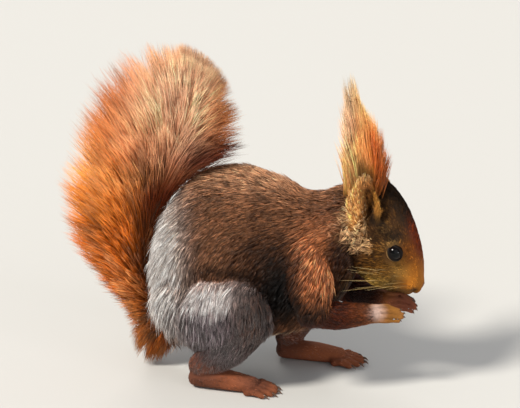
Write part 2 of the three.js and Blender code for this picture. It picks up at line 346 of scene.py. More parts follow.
# ---------------------------------------------------------------------- the body's own sizes
TRUNK = Ribs(
    start=(-52.5, 36),
    ribs=(
        (-56, 50, -44, 14, 18),
        (-55, 75, -29, 12, 27),
        (-46.5, 99, -12, 17, 31.5),
        (-31.5, 116.5, 4, 22, 34),
        (-9, 122, 19, 25, 33),
        (11, 117, 33, 31, 29.5),
        (27, 110, 45, 43, 24.5),
        (40, 111, 54, 58, 21),
        (52, 117, 61, 72, 18),
    ),
    end=(66, 98),
    coat=(4.5, 4.8, 4.4, 4, 3.6, 3.4, 3, 2.6, 2.4),
)
HEAD = Ribs(
    start=(49.5, 103),
    ribs=(
        (54, 117.5, 50.5, 86, 15),
        (65, 121.5, 53.5, 72, 17.6),
        (75, 117.5, 60, 63, 18.4),
        (83.5, 107, 67.5, 58.5, 16.8),
        (89.5, 94, 74.5, 56, 13.4),
        (93, 81.5, 80.5, 55.4, 10),
        (94.2, 71, 85.5, 55.4, 7.6),
        (94.2, 64.6, 89, 57, 5.4),
    ),
    end=(93.4, 59.9),
    coat=(2.4, 1.8, 1.4, 1.1, 0.9, 0.7, 0.5, 0.3),
)
EAR = Ribs(
    start=(63, 92),
    ribs=(
        (56, 98, 71.5, 95, 3.6),
        (54, 109, 75, 106, 3.8),
        (55.5, 120, 74, 117.5, 3),
        (60, 128, 70.5, 126.5, 2),
    ),
    end=(66, 131.5),
)
EAR_TUFT = Ribs(
    start=(64, 117),
    ribs=(
        (51.5, 125, 75.5, 123, 5),
        (48.5, 138, 76.5, 136, 5.2),
        (47.5, 151, 73.5, 149, 4.6),
        (49.5, 163, 68.5, 161, 3.6),
        (52, 174, 61.5, 172, 2.2),
    ),
    end=(55.5, 187.5),
)
TAIL = Ribs(
    start=(-46, 20),
    ribs=(
        (-50, 3, -49, 34, 11),
        (-65, -2, -57, 42, 14),
        (-77, 29, -61, 52, 16.5),
        (-96, 53, -62, 64, 19.5),
        (-111, 76, -60, 78, 21.5),
        (-113.5, 100, -56, 93, 23),
        (-109, 124, -47, 109, 23.5),
        (-100, 147, -35, 121, 23.5),
        (-88.5, 166, -20, 124, 22),
        (-75, 179, -7, 131, 19.5),
        (-60, 186, -7, 147, 16),
        (-44, 187, -14, 166, 11),
    ),
    end=(-29, 181),
)
# Where on the tail's bone the hairs grow that end at each rib of the brush, and the bone's end.
TAIL_ROOTS = (
    (-46, 0, 24), (-50, 0, 28), (-56, 0, 34), (-62, 0, 41), (-66, 0, 50), (-67, 0, 61),
    (-65, 0, 73), (-60.5, 0, 87), (-54.5, 0, 101), (-48, 0, 116), (-43.5, 0, 130), (-40, 0, 145),
)
ARMS = {
    Side.RIGHT: {
        "upper": ((32, 15, 84, 12), (36, 21, 68, 14), (39, 25, 52, 11)),
        "fore": ((38, 25, 49, 9.5), (51, 19, 46.2, 8.8), (64, 12, 45.8, 7.2)),
        "hand": (67, 10.6, 45.8),
        "shade_web": (-0.2, 2.0, 3.8, 4.8),
        "fingers": 1.5,
    },
    Side.LEFT: {
        "upper": ((33, 15, 84, 12), (38, 21, 69, 14), (43, 24, 54, 11)),
        "fore": ((43, 24, 49, 11), (56, 17, 46.2, 9.6), (69, 10, 47.5, 6.4)),
        "hand": (72, 8.6, 47.5),
        "shade_web": (0.4, -0.2, -0.6, -0.8),
        "fingers": -2.4,
    },
}
LEGS = {
    Side.RIGHT: {
        "thigh": ((-34, 19, 45.5, 21.5), (-19.5, 24, 43.5, 25.5), (-3, 26.6, 49, 20.5)),
        "shank": ((6, 28, 40, 13), (-8, 28, 26, 13.5), (-23, 27, 12.5, 9.5)),
        "heel": (-32, 26),
    },
    Side.LEFT: {
        "thigh": ((-34, 19, 46, 21.5), (-12, 24, 44.5, 24), (9, 27, 47.5, 19.5)),
        "shank": ((19, 29, 42, 12.5), (17, 28.5, 27, 13), (12, 27, 13, 9.5)),
        "heel": (4, 26),
    },
}
# Each ear stands y from the middle, leans outwards and turns back by so many degrees, and its tuft has that
# share of the full height. It leans and turns about the root.
EAR_SET = {Side.RIGHT: (14, 4, 0, 1.0), Side.LEFT: (14, 2, 8, 0.78)}
EAR_ROOT = (64, 100)
# Swellings of the face, on each side: at, radii.
FACE_LUMPS = (
    Lump((90.4, 3.0, 61.0), (3.4, 3.2, 3.9)),  # whisker pad
    Lump((88.2, 4.4, 64.0), (4.6, 4.2, 5.2)),
    Lump((85.6, 1.6, 57.6), (3.0, 2.6, 2.2)),  # chin
    Lump((72.5, 8.6, 69.5), (9.0, 7.0, 8.0)),  # cheek
)


@dataclass(frozen=True)
class Part:
    """One form of the body, with its region, its side (none in the middle) and how strongly it is smoothed.
    """

    name: str
    region: Region
    form: object
    side: Side | None = None
    smooth: float = 1.0
    detail: tuple[int, int, int] = (6, 40, 6)  # rings for each station, points round, rings in a cap


@dataclass(frozen=True)
class Digit:
    """A finger or toe from its root over its knuckle to its tip, and the point of its claw."""

    root: np.ndarray
    knuckle: np.ndarray
    tip: np.ndarray
    point: np.ndarray
    radius: float

    def flesh(self) -> Limb:
        """The fleshy part: a little swollen at its joints and at the pad of its tip."""
        a, b, c = self.root, self.knuckle, self.tip
        shares = ((a, 1.12), ((a + b) / 2, 0.92), (b, 1.02), ((b + c) / 2, 0.84), (c, 0.86))
        return Limb(tuple((*spot, self.radius * share) for spot, share in shares), coat=(0.15, 0.15))

    def claw(self, thick: float, droop: float) -> Limb:
        """The claw: a cone that leaves the top of the tip and curves down to its point."""
        away = unit(self.point - self.tip)
        base = self.tip + away * self.radius * 0.3 + np.array([0, 0, self.radius * 0.25])
        hump = (base + self.point) / 2 + np.array([0, 0, droop])
        shares = ((base, 1.0), (hump, 0.72), (self.point, 0.16))
        return Limb(tuple((*spot, thick * share) for spot, share in shares), flat=0.7)


@dataclass(frozen=True)
class Hand:
    """A hand with its back outwards: a palm, and fingers one above the other that curl inwards.

    The palm runs on behind the fingers as a plate, which lies inside them on one hand and outside on
    the other. It is painted dark: painted shade between the fingers.
    """

    side: Side
    palm: float = 10
    height: float = 6.4
    thickness: float = 3.8
    fingers: int = 4
    finger: float = 17.8
    spread: float = 8.8
    radius: float = 1.35
    claw: float = 2

    def digits(self) -> list[Digit]:
        """The fingers, from the lowest to the highest."""
        x, y, z = ARMS[self.side]["hand"]
        off = ARMS[self.side]["fingers"]
        sign = self.side.value
        made = []
        for share in np.linspace(-0.5, 0.5, self.fingers):
            long = self.finger * (1 - 0.5 * share * share)
            root = np.array([x + self.palm * 0.1, sign * (y + off), z + 0.5 + share * self.spread])
            knuckle = root + np.array([long * 0.52, -sign * 1.2, share * 0.4 + 0.6])
            tip = root + np.array([long * 0.94, -sign * long * 0.22, share * -2.2 - 0.9])
            point = tip + np.array([self.claw * 0.6, -sign * self.claw * 0.75, -0.6])
            made.append(Digit(root, knuckle, tip, point, self.radius))
        return made

    def parts(self) -> list[Part]:
        """The palm and the fingers."""
        x, y, z = ARMS[self.side]["hand"]
        shade_web = ARMS[self.side]["shade_web"]
        sign = self.side.value
        # The last joints run on behind the fingers as a plate; the hand's tint darkens it to near black as painted
        # shade between the fingers.
        joints = (
            (x - self.palm * 0.3, sign * (y + 0.6), z, self.height * 0.85),
            (x + self.palm * 0.15, sign * (y - shade_web[0]), z + 0.1, self.height * 0.95),
            (x + self.palm * 0.5, sign * (y - shade_web[1]), z + 0.3, self.height * 0.84),
            (x + self.palm * 0.9, sign * (y - shade_web[2]), z + 0.2, self.height * 0.72),
            (x + self.palm * 1.3, sign * (y - shade_web[3]), z - 0.3, self.height * 0.52),
        )
        palm = Limb(joints, flat=self.thickness / self.height, coat=(0.6, 0.4))
        made = [Part("palm", Region.HAND, palm, self.side, 0.25, (8, 24, 4))]
        for digit in self.digits():
            made.append(Part("finger", Region.FINGER, digit.flesh(), self.side, 0.12, (5, 14, 4)))
        return made


@dataclass(frozen=True)
class Foot:
    """A long hind foot flat on the ground, with toes that spread from its ball."""

    side: Side
    length: float = 54
    height: float = 6
    flat: float = 1.35
    toes: int = 5
    toe: float = 13
    spread: float = 13
    splay: float = 24
    radius: float = 2.3
    claw: float = 4
    sink: float = 0.7

    def digits(self) -> list[Digit]:
        """The toes, from the inner to the outer."""
        x, y = LEGS[self.side]["heel"]
        sign = self.side.value
        ball = x + self.length - self.toe - self.claw
        made = []
        for share in np.linspace(-0.5, 0.5, self.toes):
            long = self.toe * (1.08 - 1.5 * share * share)
            turn = sign * share * np.radians(self.splay)
            out = np.array([np.cos(turn), np.sin(turn), 0])
            root = np.array([ball - 1, sign * (y + 1 + share * self.spread), self.radius * 1.25 - self.sink])
            tip = (root + out * long) * [1, 1, 0] + [0, 0, self.radius * 0.85 - self.sink / 2]
            knuckle = (root + tip) / 2 * [1, 1, 0] + [0, 0, self.radius * 1.6 - self.sink]
            point = (tip + out * self.claw) * [1, 1, 0] + [0, 0, self.radius * 0.2]
            made.append(Digit(root, knuckle, tip, point, self.radius))
        return made

    def parts(self) -> list[Part]:
        """The sole and the toes."""
        x, y = LEGS[self.side]["heel"]
        sign = self.side.value
        ball = x + self.length - self.toe - self.claw
        low = self.height - self.sink
        joints = (
            (x + self.height, sign * y, low, self.height),
            (x + self.length * 0.4, sign * (y + 0.4), low, self.height),
            (ball, sign * (y + 1), self.height * 0.8 - self.sink, self.height * 0.8),
        )
        sole = Limb(joints, flat=self.flat, coat=(0.9, 0.5))
        made = [Part("sole", Region.FOOT, sole, self.side, 0.3, (8, 28, 4))]
        for digit in self.digits():
            made.append(Part("toe", Region.FOOT, digit.flesh(), self.side, 0.12, (5, 16, 4)))
        return made


@dataclass(frozen=True)
class Leaf:
    """An ear or its tuft as it is set on the head."""

    side: Side
    low: float
    tall: float = 1.0

    def set(self, points: np.ndarray) -> np.ndarray:
        """Points of an ear in the middle plane, set beside the middle, leant outwards and turned back.

        The height above low is scaled by tall. A turn about X by the lean and one about Y by the turn back
        follow, both about the ear's root.
        """
        y, lean, back, _ = EAR_SET[self.side]
        x0, z0 = EAR_ROOT
        local = points - [x0, 0, self.low]
        local = local * [1, 1, self.tall] + [0, 0, self.low - z0]
        roll = np.radians(-self.side.value * lean)
        tilt = np.radians(-back)
        about_x = np.array([[1, 0, 0], [0, np.cos(roll), -np.sin(roll)], [0, np.sin(roll), np.cos(roll)]])
        about_y = np.array([[np.cos(tilt), 0, np.sin(tilt)], [0, 1, 0], [-np.sin(tilt), 0, np.cos(tilt)]])
        return local @ (about_y @ about_x).T + [x0, self.side.value * y, z0]


@dataclass(frozen=True)
class Pinna:
    """The ear's gristle: a thin scoop, hollow towards the outside, between the ear's rear and front edges.
    """

    side: Side
    thick: float = 1.2
    height: float = 0.8  # the share of the ear that the scoop takes; above it is only hair

    @staticmethod
    def bow(across: np.ndarray, along: np.ndarray) -> np.ndarray:
        """How far the middle sheet stands out, in half widths, at shares from the rear edge to the front.

        It is a sum of bells: the rolled rear rim, the hollow behind the middle, and the broad front fold.
        The hollow closes between half and three quarters of the way up, where the rim runs over it.
        """
        shut = eased((along - 0.5) / 0.22)
        rim = 0.85 * np.exp(-(((across - 0.2) / 0.26) ** 2))
        hollow = 2.1 * np.exp(-(((across - 0.6) / 0.1) ** 2)) * (1 - shut)
        arch = 0.8 * np.exp(-(((across - 0.55) / 0.3) ** 2)) * shut
        fold = 0.7 * np.exp(-(((across - 0.86) / 0.17) ** 2))
        return rim - hollow + arch + fold

    def net(self, per_station: int, around: int, cap: int) -> Net:
        """The scoop's surface.

        Across the ear a place goes from the rear edge to the front as (1 - cos a) / 2, and its wall lies
        half the thickness times sin a off the middle sheet, which stands out by the bow.
        """
        plan = Plan.of(len(EAR.ribs), per_station, cap)
        angle = np.arange(around) / around * FULL_TURN
        up = plan.along * self.height
        rear = Spline([(r[0], r[4], r[1]) for r in EAR.ribs]).at(up)
        front = Spline([(r[2], r[4], r[3]) for r in EAR.ribs]).at(up)
        half = rear[:, 1].copy()
        rear[:, 1] = front[:, 1] = 0
        middle = (rear + front) / 2
        tip = np.where(plan.beyond[:, None] < 0, EAR.start, middle[-1, [0, 2]] + [1.0, 4.0])
        goal = np.stack([tip[:, 0], np.zeros(len(tip)), tip[:, 1]], axis=1)
        middle = middle + (goal - middle) * np.abs(plan.beyond)[:, None] * 0.96
        narrowed = 0.96 - 0.42 * eased(up * 2 - 0.6) * (up > 0.3)
        across = (front - rear) * narrowed[:, None] * plan.size[:, None]
        u = (1 - np.cos(angle)) / 2
        size = plan.size[:, None]
        off = half[:, None] * self.bow(u, up[:, None]) * size + self.thick / 2 * np.sin(angle) * size
        points = middle[:, None] + across[:, None] * (u - 0.5)[:, None]
        points = points + self.side.value * ACROSS * off[:, :, None]
        return Net(Leaf(self.side, EAR.start[1]).set(points), plan.along)

    def carved(self, points: np.ndarray, normals: np.ndarray) -> np.ndarray:
        """The head's flesh in front of the hollow drawn back to the hollow's wall, less and less towards
        its foot.
        """
        side = self.side.value
        share = np.interp(points[:, 2], (98, 109, 120), (0, 1 / 3, 2 / 3))
        rear = Spline([(r[0], 0, r[1]) for r in EAR.ribs]).at(share)[:, 0]
        front = Spline([(r[2], 0, r[3]) for r in EAR.ribs]).at(share)[:, 0]
        across = (points[:, 0] - rear) / (front - rear)
        wall = EAR_SET[self.side][0] + 3.7 * self.bow(across, share) + self.thick / 2
        wall = wall + 5.5 * (1 - eased((points[:, 2] - 98) / 7)) + 9 * eased(np.abs(across - 0.6) * 5 - 1)
        inside = (points[:, 1] * side > 4) & (normals[:, 1] * side > -0.1)
        inside &= (points[:, 2] > 90) & (points[:, 2] < 119)
        made = points.copy()
        made[inside, 1] = side * np.minimum(points[inside, 1] * side, wall[inside])
        return made


def mirrored(joints: tuple, side: Side) -> tuple:
    """Joints of a limb on one side."""
    return tuple((x, side.value * y, z, r) for x, y, z, r in joints)


def body_parts() -> list[Part]:
    """Every form that the skin is drawn over."""
    dock = tuple((x, y, z, r) for (x, y, z), r in zip(TAIL_ROOTS, np.linspace(7.5, 2.0, len(TAIL_ROOTS))))
    parts = [
        Part("trunk", Region.TRUNK, TRUNK, detail=(12, 120, 10)),
        Part("head", Region.HEAD, HEAD, smooth=0.35, detail=(12, 90, 8)),
        Part("dock", Region.DOCK, Limb(dock), smooth=0.5, detail=(5, 24, 5)),
    ]
    for side in Side:
        arm, leg = ARMS[side], LEGS[side]
        upper = Limb(mirrored(arm["upper"], side), 0.8, (3, 2.6, 2.4))
        fore = Limb(mirrored(arm["fore"], side), 1.0, (2.2, 1.5, 1.1))
        thigh = Limb(mirrored(leg["thigh"], side), 0.62, (3.4, 3.2, 2.6))
        shank = Limb(mirrored(leg["shank"], side), 0.75, (2.8, 2.2, 1.6))
        parts += [
            Part("upper arm", Region.UPPER_ARM, upper, side, 0.9, (10, 44, 6)),
            Part("forearm", Region.FOREARM, fore, side, 0.6, (10, 36, 6)),
            Part("thigh", Region.THIGH, thigh, side, 0.9, (12, 60, 8)),
            Part("shank", Region.SHANK, shank, side, 0.8, (10, 44, 6)),
            Part("ear", Region.EAR, Pinna(side), side, 0.1, (8, 40, 5)),
        ]
        parts += Hand(side).parts() + Foot(side).parts()
        for lump in FACE_LUMPS:
            x, y, z = lump.at
            shape = Lump((x, side.value * y, z), lump.radii)
            parts.append(Part("face", Region.HEAD, shape, smooth=0.3, detail=(12, 28, 8)))
    return parts


# ---------------------------------------------------------------------- colours
@dataclass(frozen=True)
class Blot:
    """A patch of colour, the same on both sides: full at its middle and gone past its reach.

    code is the colour of the hair's body there and tip that of its palest tips.
    """

    at: tuple[float, float, float]
    reach: tuple[float, float, float]
    code: str
    tip: str = ""
    strength: float = 0.9
    on: tuple[Region, ...] = (Region.TRUNK, Region.HEAD, Region.THIGH)

    def over(self, points: np.ndarray, colours: np.ndarray, tips: bool = False) -> np.ndarray:
        """Colours with this patch laid over them, by strength times e to the minus 0.7 q to the fourth."""
        q = np.linalg.norm((folded(points) - self.at) / np.array(self.reach), axis=1)
        share = (self.strength * np.exp(-0.7 * q**4))[:, None]
        return colours * (1 - share) + tint(self.tip if tips else self.code) * share


ARM = (Region.UPPER_ARM, Region.FOREARM)
LEG = (Region.THIGH, Region.SHANK)
WRIST = (Region.FOREARM, Region.HAND, Region.FINGER)
# The colours of the hair's body along each region from its start to its end, and of its tips.
REGION_TINTS = {
    Region.TRUNK: (("80543a", "744a30"), ("b28564", "a67654")),
    Region.HEAD: (("5a3c1c", "6b4420"), ("86602f", "96682f")),
    Region.UPPER_ARM: (("c0744a", "da804e", "62381a"), ("fab88c", "ffbe96", "986036")),
    Region.FOREARM: (("481c08", "52220a", "7a401c"), ("74340f", "7c3c12", "b8744a")),
    # The palm darkens to near black towards its end, the plate behind the fingers: painted shade between the
    # fingers.
    Region.HAND: (("94541f", "7c4216", "241006"), ("c48048", "a86a30", "3e2210")),
    Region.FINGER: (("905828", "b47a36"), ("c48a4c", "dca464")),
    Region.THIGH: (("7a6a6c", "5c4c54", "362a30"), ("fff4f6", "fcf0f6", "ccb8c0")),
    Region.SHANK: (("54484c", "523e36", "743e26"), ("94868c", "8c6e60", "b0704c")),
    Region.FOOT: (("905034", "a05c3c"), ("d48c6c", "e49e78")),
    Region.EAR: (("c8803c", "c07834", "8a5024"), ("ffc488", "f4b070", "cc844c")),
    Region.DOCK: (("7a4a2c", "7a4a2c"), ("9a6238", "9a6238")),
}
# Patches over them, each laid over the ones before. Some are painted light or painted shade, as marked.
BLOTS = (
    # The back's top painted paler: partly its coat, partly painted light from above.
    Blot((6, 0, 124), (62, 26, 15), "b88461", "e4b894"),
    # The rump's rear: its grey winter coat, paled to near white as painted sheen.
    Blot((-57, 16, 76), (25, 34, 37), "dccec6", "fffcfa"),
    Blot((-52, 24, 46), (20, 22, 26), "aa9a94", "fcf2ec", on=(Region.TRUNK, Region.THIGH)),
    # The haunch painted paler on its top and darker low down: partly its grey coat, partly painted light from
    # above and painted shade below.
    Blot((-14, 35, 64.5), (22, 16, 10), "dcc0b8", "fff0ec", on=(Region.THIGH,)),
    Blot((-4, 36, 26), (26, 20, 12), "3c3236", "8c7e82", on=LEG),
    Blot((-26, 27, 9), (15, 16, 7), "6a4030", "a07058", on=(Region.SHANK, Region.FOOT)),
    Blot((10, 27, 9), (12, 16, 7), "6a4030", "a07058", on=(Region.SHANK, Region.FOOT)),
    # The flank before the haunch and behind the arm, and the arm's inner face: painted shade, over fur that is
    # darker there too.
    Blot((9, 34, 47), (13, 14, 24), "38231a", "604432", 1.0, on=(Region.TRUNK, Region.THIGH, Region.SHANK)),
    Blot((17, 28, 78), (20, 16, 20), "3a2315", "583a27", on=(Region.TRUNK,)),
    Blot((25, 27, 60), (15, 18, 22), "0a0604", "150e0a", 1.0, on=(Region.TRUNK,)),
    Blot((28, 26, 64), (8, 14, 20), "1e120b", "342014", on=(Region.UPPER_ARM,)),
    Blot((36, 34, 53), (12, 12, 8), "2c1a10", "4a3020", on=ARM),
    # Painted shade in the crease where the flank hangs over the haunch, and at its rear end.
    Blot((-9, 33, 71.5), (19, 9, 3), "2e1f15", "4c3728", on=(Region.TRUNK,)),
    Blot((-32, 32, 60), (4, 9, 6), "54402f", "866c58", on=(Region.TRUNK, Region.THIGH)),
    # Painted shade on the chest and throat under the chin.
    Blot((46, 4, 58), (18, 18, 20), "2e1a10", "4b2e1e"),
    Blot((10, 0, 24), (48, 13, 10), "cdbca2", "eadfcb"),
    Blot((47, 14, 102), (14, 16, 14), "764c34", "a87a5a"),
    Blot((40, 22, 88), (11, 14, 12), "b0693e", "eca478"),
    # Painted highlight on the wrist.
    Blot((71.5, 14.5, 48), (3.8, 5, 5), "ffd8c8", "fffaf4", 0.95, on=WRIST),
    Blot((86, 2.5, 47), (13, 5.4, 10), "a45e4a", "d49a88", on=(Region.HAND, Region.FINGER)),
    # Painted shade on the inner face of the forearms.
    Blot((56, 8, 49), (17, 7, 9), "1c0a05", "301408", on=(Region.FOREARM,)),
    Blot((70, 4, 119), (17, 14, 13), "060402", "100b06"),
    Blot((85, 0, 102), (10, 13, 13), "0e0803", "22150a"),
    Blot((91.5, 3, 85), (6.5, 6, 15), "702804", "a84a12"),
    Blot((87, 9, 80), (5, 6, 8), "84490f", "ac6a24"),
    Blot((90, 5, 65), (9, 9, 10), "c87a26", "e8a044"),
    Blot((81, 12, 72), (6, 7, 6), "b4843c", "dcac62"),
    Blot((74, 17, 71), (9, 10, 12), "644219", "8e6429"),
    Blot((68, 12, 63), (12, 12, 6.5), "9a7838", "d0ac62"),
    Blot((55, 15, 81), (10, 12, 11), "4a2e18", "74492c"),
    # Painted shade between the cheek's fluff and the shoulder.
    Blot((52.5, 17, 83), (5, 12, 8), "2c120a", "48241a"),
    Blot((62.5, 17, 89.5), (8, 9, 8), "4a2e18", "d8aa7c"),
    Blot((57, 17, 99), (4.6, 9, 9), "4a2e18", "d8aa7c"),
    Blot((71.5, 16, 97), (4.5, 6, 6), "24180a", "3c2a14"),
    Blot((76.5, 15.5, 95.8), (3.6, 6, 2.8), "4c3418", "cca068", 0.95),
    Blot((80.5, 14, 91.6), (6, 5, 3.8), "140c04", "221606", 0.95),
    Blot((80, 14.5, 87.6), (4, 3, 0.9), "b08850", "d8b078"),
    Blot((89.8, 5, 60.2), (2.5, 3, 1.6), "100603", "140804", 1.0),
    Blot((80, 5, 58.6), (9, 6, 2), "8a6a34", "b8944e", 0.7),
    Blot((78, 0, 58), (12, 7, 5), "45200f", "62331a"),
    # Painted shade in the ear's hollow.
    Blot((67, 12, 108), (2.8, 7, 15), "0c0502", "1c0e04", on=(Region.EAR,)),
    Blot((71.5, 16, 101), (5, 7, 6.5), "140d04", "281a08", 1.0, on=(Region.HEAD, Region.EAR)),
    Blot((73, 15, 114), (4, 7, 11), "b87c34", "f0b868", on=(Region.EAR,)),
    Blot((57, 17, 112), (7, 8, 20), "f4a860", "ffdcac", on=(Region.EAR,)),
    Blot((64, 16, 128), (10, 8, 5), "d8a468", "ffe8bc", on=(Region.EAR,)),
)


def marked(points: np.ndarray, region: np.ndarray, along: np.ndarray, tips: bool) -> np.ndarray:
    """The coat's colours at points: those of their region, with the patches laid over them in order.

    Args:
        points: places in the squirrel's frame.
        region: the number of each point's region.
        along: each point's place along its part, from 0 to 1.
        tips: whether the colours of the tips are meant, or those of the hair's body.
    Returns:
        Linear colours, one row for each point.
    """
    made = np.zeros((len(points), 3))
    for key, pair in REGION_TINTS.items():
        here = region == key.value
        stops = np.array([tint(code) for code in pair[int(tips)]])
        places = np.linspace(0, 1, len(stops))
        made[here] = np.stack([np.interp(along[here], places, stops[:, i]) for i in range(3)], axis=1)
    for blot in BLOTS:
        here = np.isin(region, [key.value for key in blot.on])
        made[here] = blot.over(points[here], made[here], tips)
    return made


# ---------------------------------------------------------------------- the lie of the coat
# Each row is a place x, y from the middle, z, the way the hair points there, its length and how many
# degrees its root stands up. The rows of a group guide only their own regions.
BODY_LIE = (
    (60, 0, 114, -1, 0, 0.0, 6, 26),
    (44, 0, 112, -1, 0, 0.05, 7.5, 28),
    (28, 0, 110, -1, 0, 0.25, 7.5, 26),
    (8, 0, 118, -1, 0, 0.1, 6.5, 20),
    (-15, 0, 122, -1, 0, -0.1, 7, 20),
    (-38, 0, 114, -1, 0, -0.7, 8, 22),
    (-54, 0, 98, -0.6, 0, -1, 10, 24),
    (-61, 0, 74, -0.3, 0, -1, 12, 22),
    (-60, 0, 48, -0.25, 0, -1, 13, 20),
    (-50, 0, 24, -0.3, 0, -1, 12, 14),
    (55, 15, 98, -1, 0.1, -0.35, 5, 22),
    (44, 18, 92, -0.9, 0.1, -0.6, 5.5, 22),
    (22, 24, 96, -1, 0.1, -0.35, 5.5, 20),
    (0, 30, 95, -1, 0.1, -0.45, 5.5, 20),
    (-25, 31, 95, -0.85, 0.1, -0.7, 6.5, 20),
    (-46, 27, 86, -0.6, 0, -1, 9, 22),
    (-54, 20, 60, -0.4, 0, -1, 11, 20),
    (-50, 15, 38, -0.3, 0, -1, 12, 16),
    (24, 24, 76, -0.8, 0.1, -0.8, 7, 22),
    (8, 28, 70, -0.7, 0.15, -0.9, 7, 26),
    (-10, 30, 72, -0.7, 0.2, -0.8, 7, 26),
    (26, 20, 56, -0.7, 0.1, -0.9, 9, 18),
    (8, 26, 44, -0.2, 0, -1, 8, 17),
    (10, 0, 32, -1, 0, -0.3, 8, 18),
    (36, 0, 48, -0.8, 0, -0.6, 8, 18),
    (52, 0, 66, -0.5, 0, -1, 7, 18),
    (60, 0, 80, -0.4, 0, -1, 6, 18),
    (54, 12, 76, -0.6, 0.1, -1, 7, 18),
    (-30, 26, 66, -0.1, 0.2, -1, 8.5, 16),
    (-12, 30, 64, 0.02, 0.2, -1, 8, 16),
    (-40, 24, 50, -0.2, 0.2, -1, 9, 16),
    (-20, 32, 47, 0.03, 0, -1, 8, 13),
    (4, 32, 50, 0.02, 0, -1, 7.5, 13),
    (-6, 33, 57, 0.04, 0, -1, 8, 14),
    (-22, 28, 30, -0.15, 0, -1, 8, 16),
    (36, 26, 80, -0.45, 0.1, -1, 7, 16),
    (40, 30, 66, -0.35, 0.1, -1, 7.5, 16),
    (36, 26, 56, -0.5, 0.1, -1, 7.5, 18),
    (42, 28, 50, -0.5, 0.1, -0.9, 6.5, 18),
)
LEG_LIE = (
    (4, 32, 42, -0.3, 0, -1, 6, 12),
    (-6, 32, 30, -0.5, 0, -1, 5.5, 12),
    (-20, 30, 14, -0.4, 0, -1, 3, 12),
    (-30, 26, 6, 0.3, 0, -1, 2.2, 10),
    (-16, 26, 10, 1, 0, -0.4, 2.4, 10),
    (0, 26, 9, 1, 0, -0.1, 2.6, 10),
    (12, 27, 6, 1, 0, -0.15, 2.2, 10),
    (24, 27, 3, 1, 0, -0.2, 1.9, 10),
    (36, 27, 8, 1, 0, -0.15, 2.4, 10),
    (60, 27, 3, 1, 0, -0.2, 1.9, 10),
)
ARM_LIE = (
    (38, 28, 48, 0.3, 0, -1, 5, 18),
    (46, 24, 46, 1, -0.3, -0.5, 4, 14),
    (58, 17, 45, 1, -0.4, -0.1, 3.2, 12),
    (68, 12, 45, 1, -0.2, 0, 2.4, 10),
    (78, 10, 46, 1, -0.2, 0, 1.9, 10),
    (90, 6, 46, 1, -0.6, 0, 1.5, 10),
)
HEAD_LIE = (
    (95, 0, 62, 0.1, 0, 1, 1.2, 12),
    (95, 3, 74, -0.1, 0.1, 1, 1.7, 12),
    (92, 0, 88, -0.3, 0, 1, 2.2, 12),
    (86, 0, 104, -0.6, 0, 1, 2.8, 12),
    (76, 0, 117, -1, 0, 0.3, 3.6, 14),
    (62, 0, 121, -1, 0, -0.15, 5, 16),
    (52, 0, 116, -1, 0, -0.15, 6, 18),
    (90, 8, 64, -0.7, 0.35, 0.5, 1.6, 12),
    (88, 3, 55, -0.9, 0.1, -0.5, 1.4, 12),
    (84, 9, 72, -0.75, 0.3, 0.5, 1.9, 12),
    (80, 13, 66, -1, 0.2, 0.15, 2.3, 12),
    (74, 17, 74, -1, 0.1, 0.1, 3, 12),
    (64, 17, 74, -1, 0.1, -0.2, 4, 14),
    (57, 15, 80, -0.9, 0.1, -0.5, 5, 16),
    (88, 9, 88, -0.4, 0.3, 1, 1.9, 12),
    (82, 12, 96, -0.7, 0.2, 0.8, 2.2, 12),
    (74, 15, 92, -1, 0.1, 0.3, 2.6, 12),
    (66, 17, 88, -1, 0.1, 0, 3.4, 14),
    (56, 17, 92, -0.6, 0.3, -0.6, 6.5, 30),
    (62, 17, 90, -0.5, 0.3, -0.2, 5, 32),
    (70, 16, 92, -0.6, 0.2, 0.5, 3.4, 24),
    (55, 14, 104, -0.8, 0.2, 0.3, 6.5, 28),
    (72, 9, 112, -0.9, 0, 0.4, 3, 14),
    (76, 4, 58, -1, 0, -0.3, 3, 14),
    (64, 4, 68, -0.8, 0, -0.7, 4.5, 16),
)
EAR_LIE = (
    (56, 17, 96, -0.6, 0.3, 0.4, 5, 24),
    (55, 17, 110, -0.3, 0.2, 1, 5, 18),
    (58, 17, 124, -0.2, 0.1, 1, 4, 16),
    (66, 15, 128, 0, 0, 1, 3.4, 14),
    (64, 12, 110, 0, 0.2, 1, 1.6, 14),
    (72, 16, 122, 0.05, 0.1, 1, 2.6, 14),
    (74, 16, 108, 0.05, 0.1, 1, 2.4, 12),
    (72, 15, 97, 0.1, 0.1, 1, 2.2, 12),
)
LIE_OF = {
    Region.TRUNK: BODY_LIE,
    Region.THIGH: BODY_LIE,
    Region.UPPER_ARM: BODY_LIE,
    Region.DOCK: BODY_LIE,
    Region.SHANK: LEG_LIE,
    Region.FOOT: LEG_LIE,
    Region.FOREARM: ARM_LIE,
    Region.HAND: ARM_LIE,
    Region.FINGER: ARM_LIE,
    Region.HEAD: HEAD_LIE,
    Region.EAR: EAR_LIE,
}


def combed(points: np.ndarray, region: np.ndarray) -> tuple[np.ndarray, np.ndarray, np.ndarray]:
    """How the coat lies at points: the way it points, its length and its lean.

    Each is the mean of its group's rows, weighted by one over the fourth power of their distance. Round an
    eye the way is bent outwards, so that no hair lies across it.

    Args:
        points: places in the squirrel's frame.
        region: the number of each point's region.
    Returns:
        Ways (n, 3), lengths (n,) and leans in degrees (n,).
    """
    made = np.zeros((len(points), 5))
    side = np.where(points[:, 1] < 0, -1.0, 1.0)
    spots = folded(points)
    for key, rows in LIE_OF.items():
        here = region == key.value
        guide = np.array(rows, float)
        apart = np.linalg.norm(spots[here][:, None] - guide[None, :, :3], axis=2)
        weight = 1 / (apart + 1.0) ** 4
        ways = np.concatenate([unit(guide[:, 3:6]), guide[:, 6:8]], axis=1)
        made[here] = weight @ ways / weight.sum(axis=1, keepdims=True)
    away = spots - EYE_AT
    gap = np.linalg.norm(away, axis=1)
    bend = 2.2 * np.exp(-(((gap - EYE_RADIUS) / 3.2) ** 2))
    ways = unit(made[:, :3]) + unit(away) * bend[:, None]
    ways[:, 1] *= side
    return unit(ways), made[:, 3], made[:, 4]


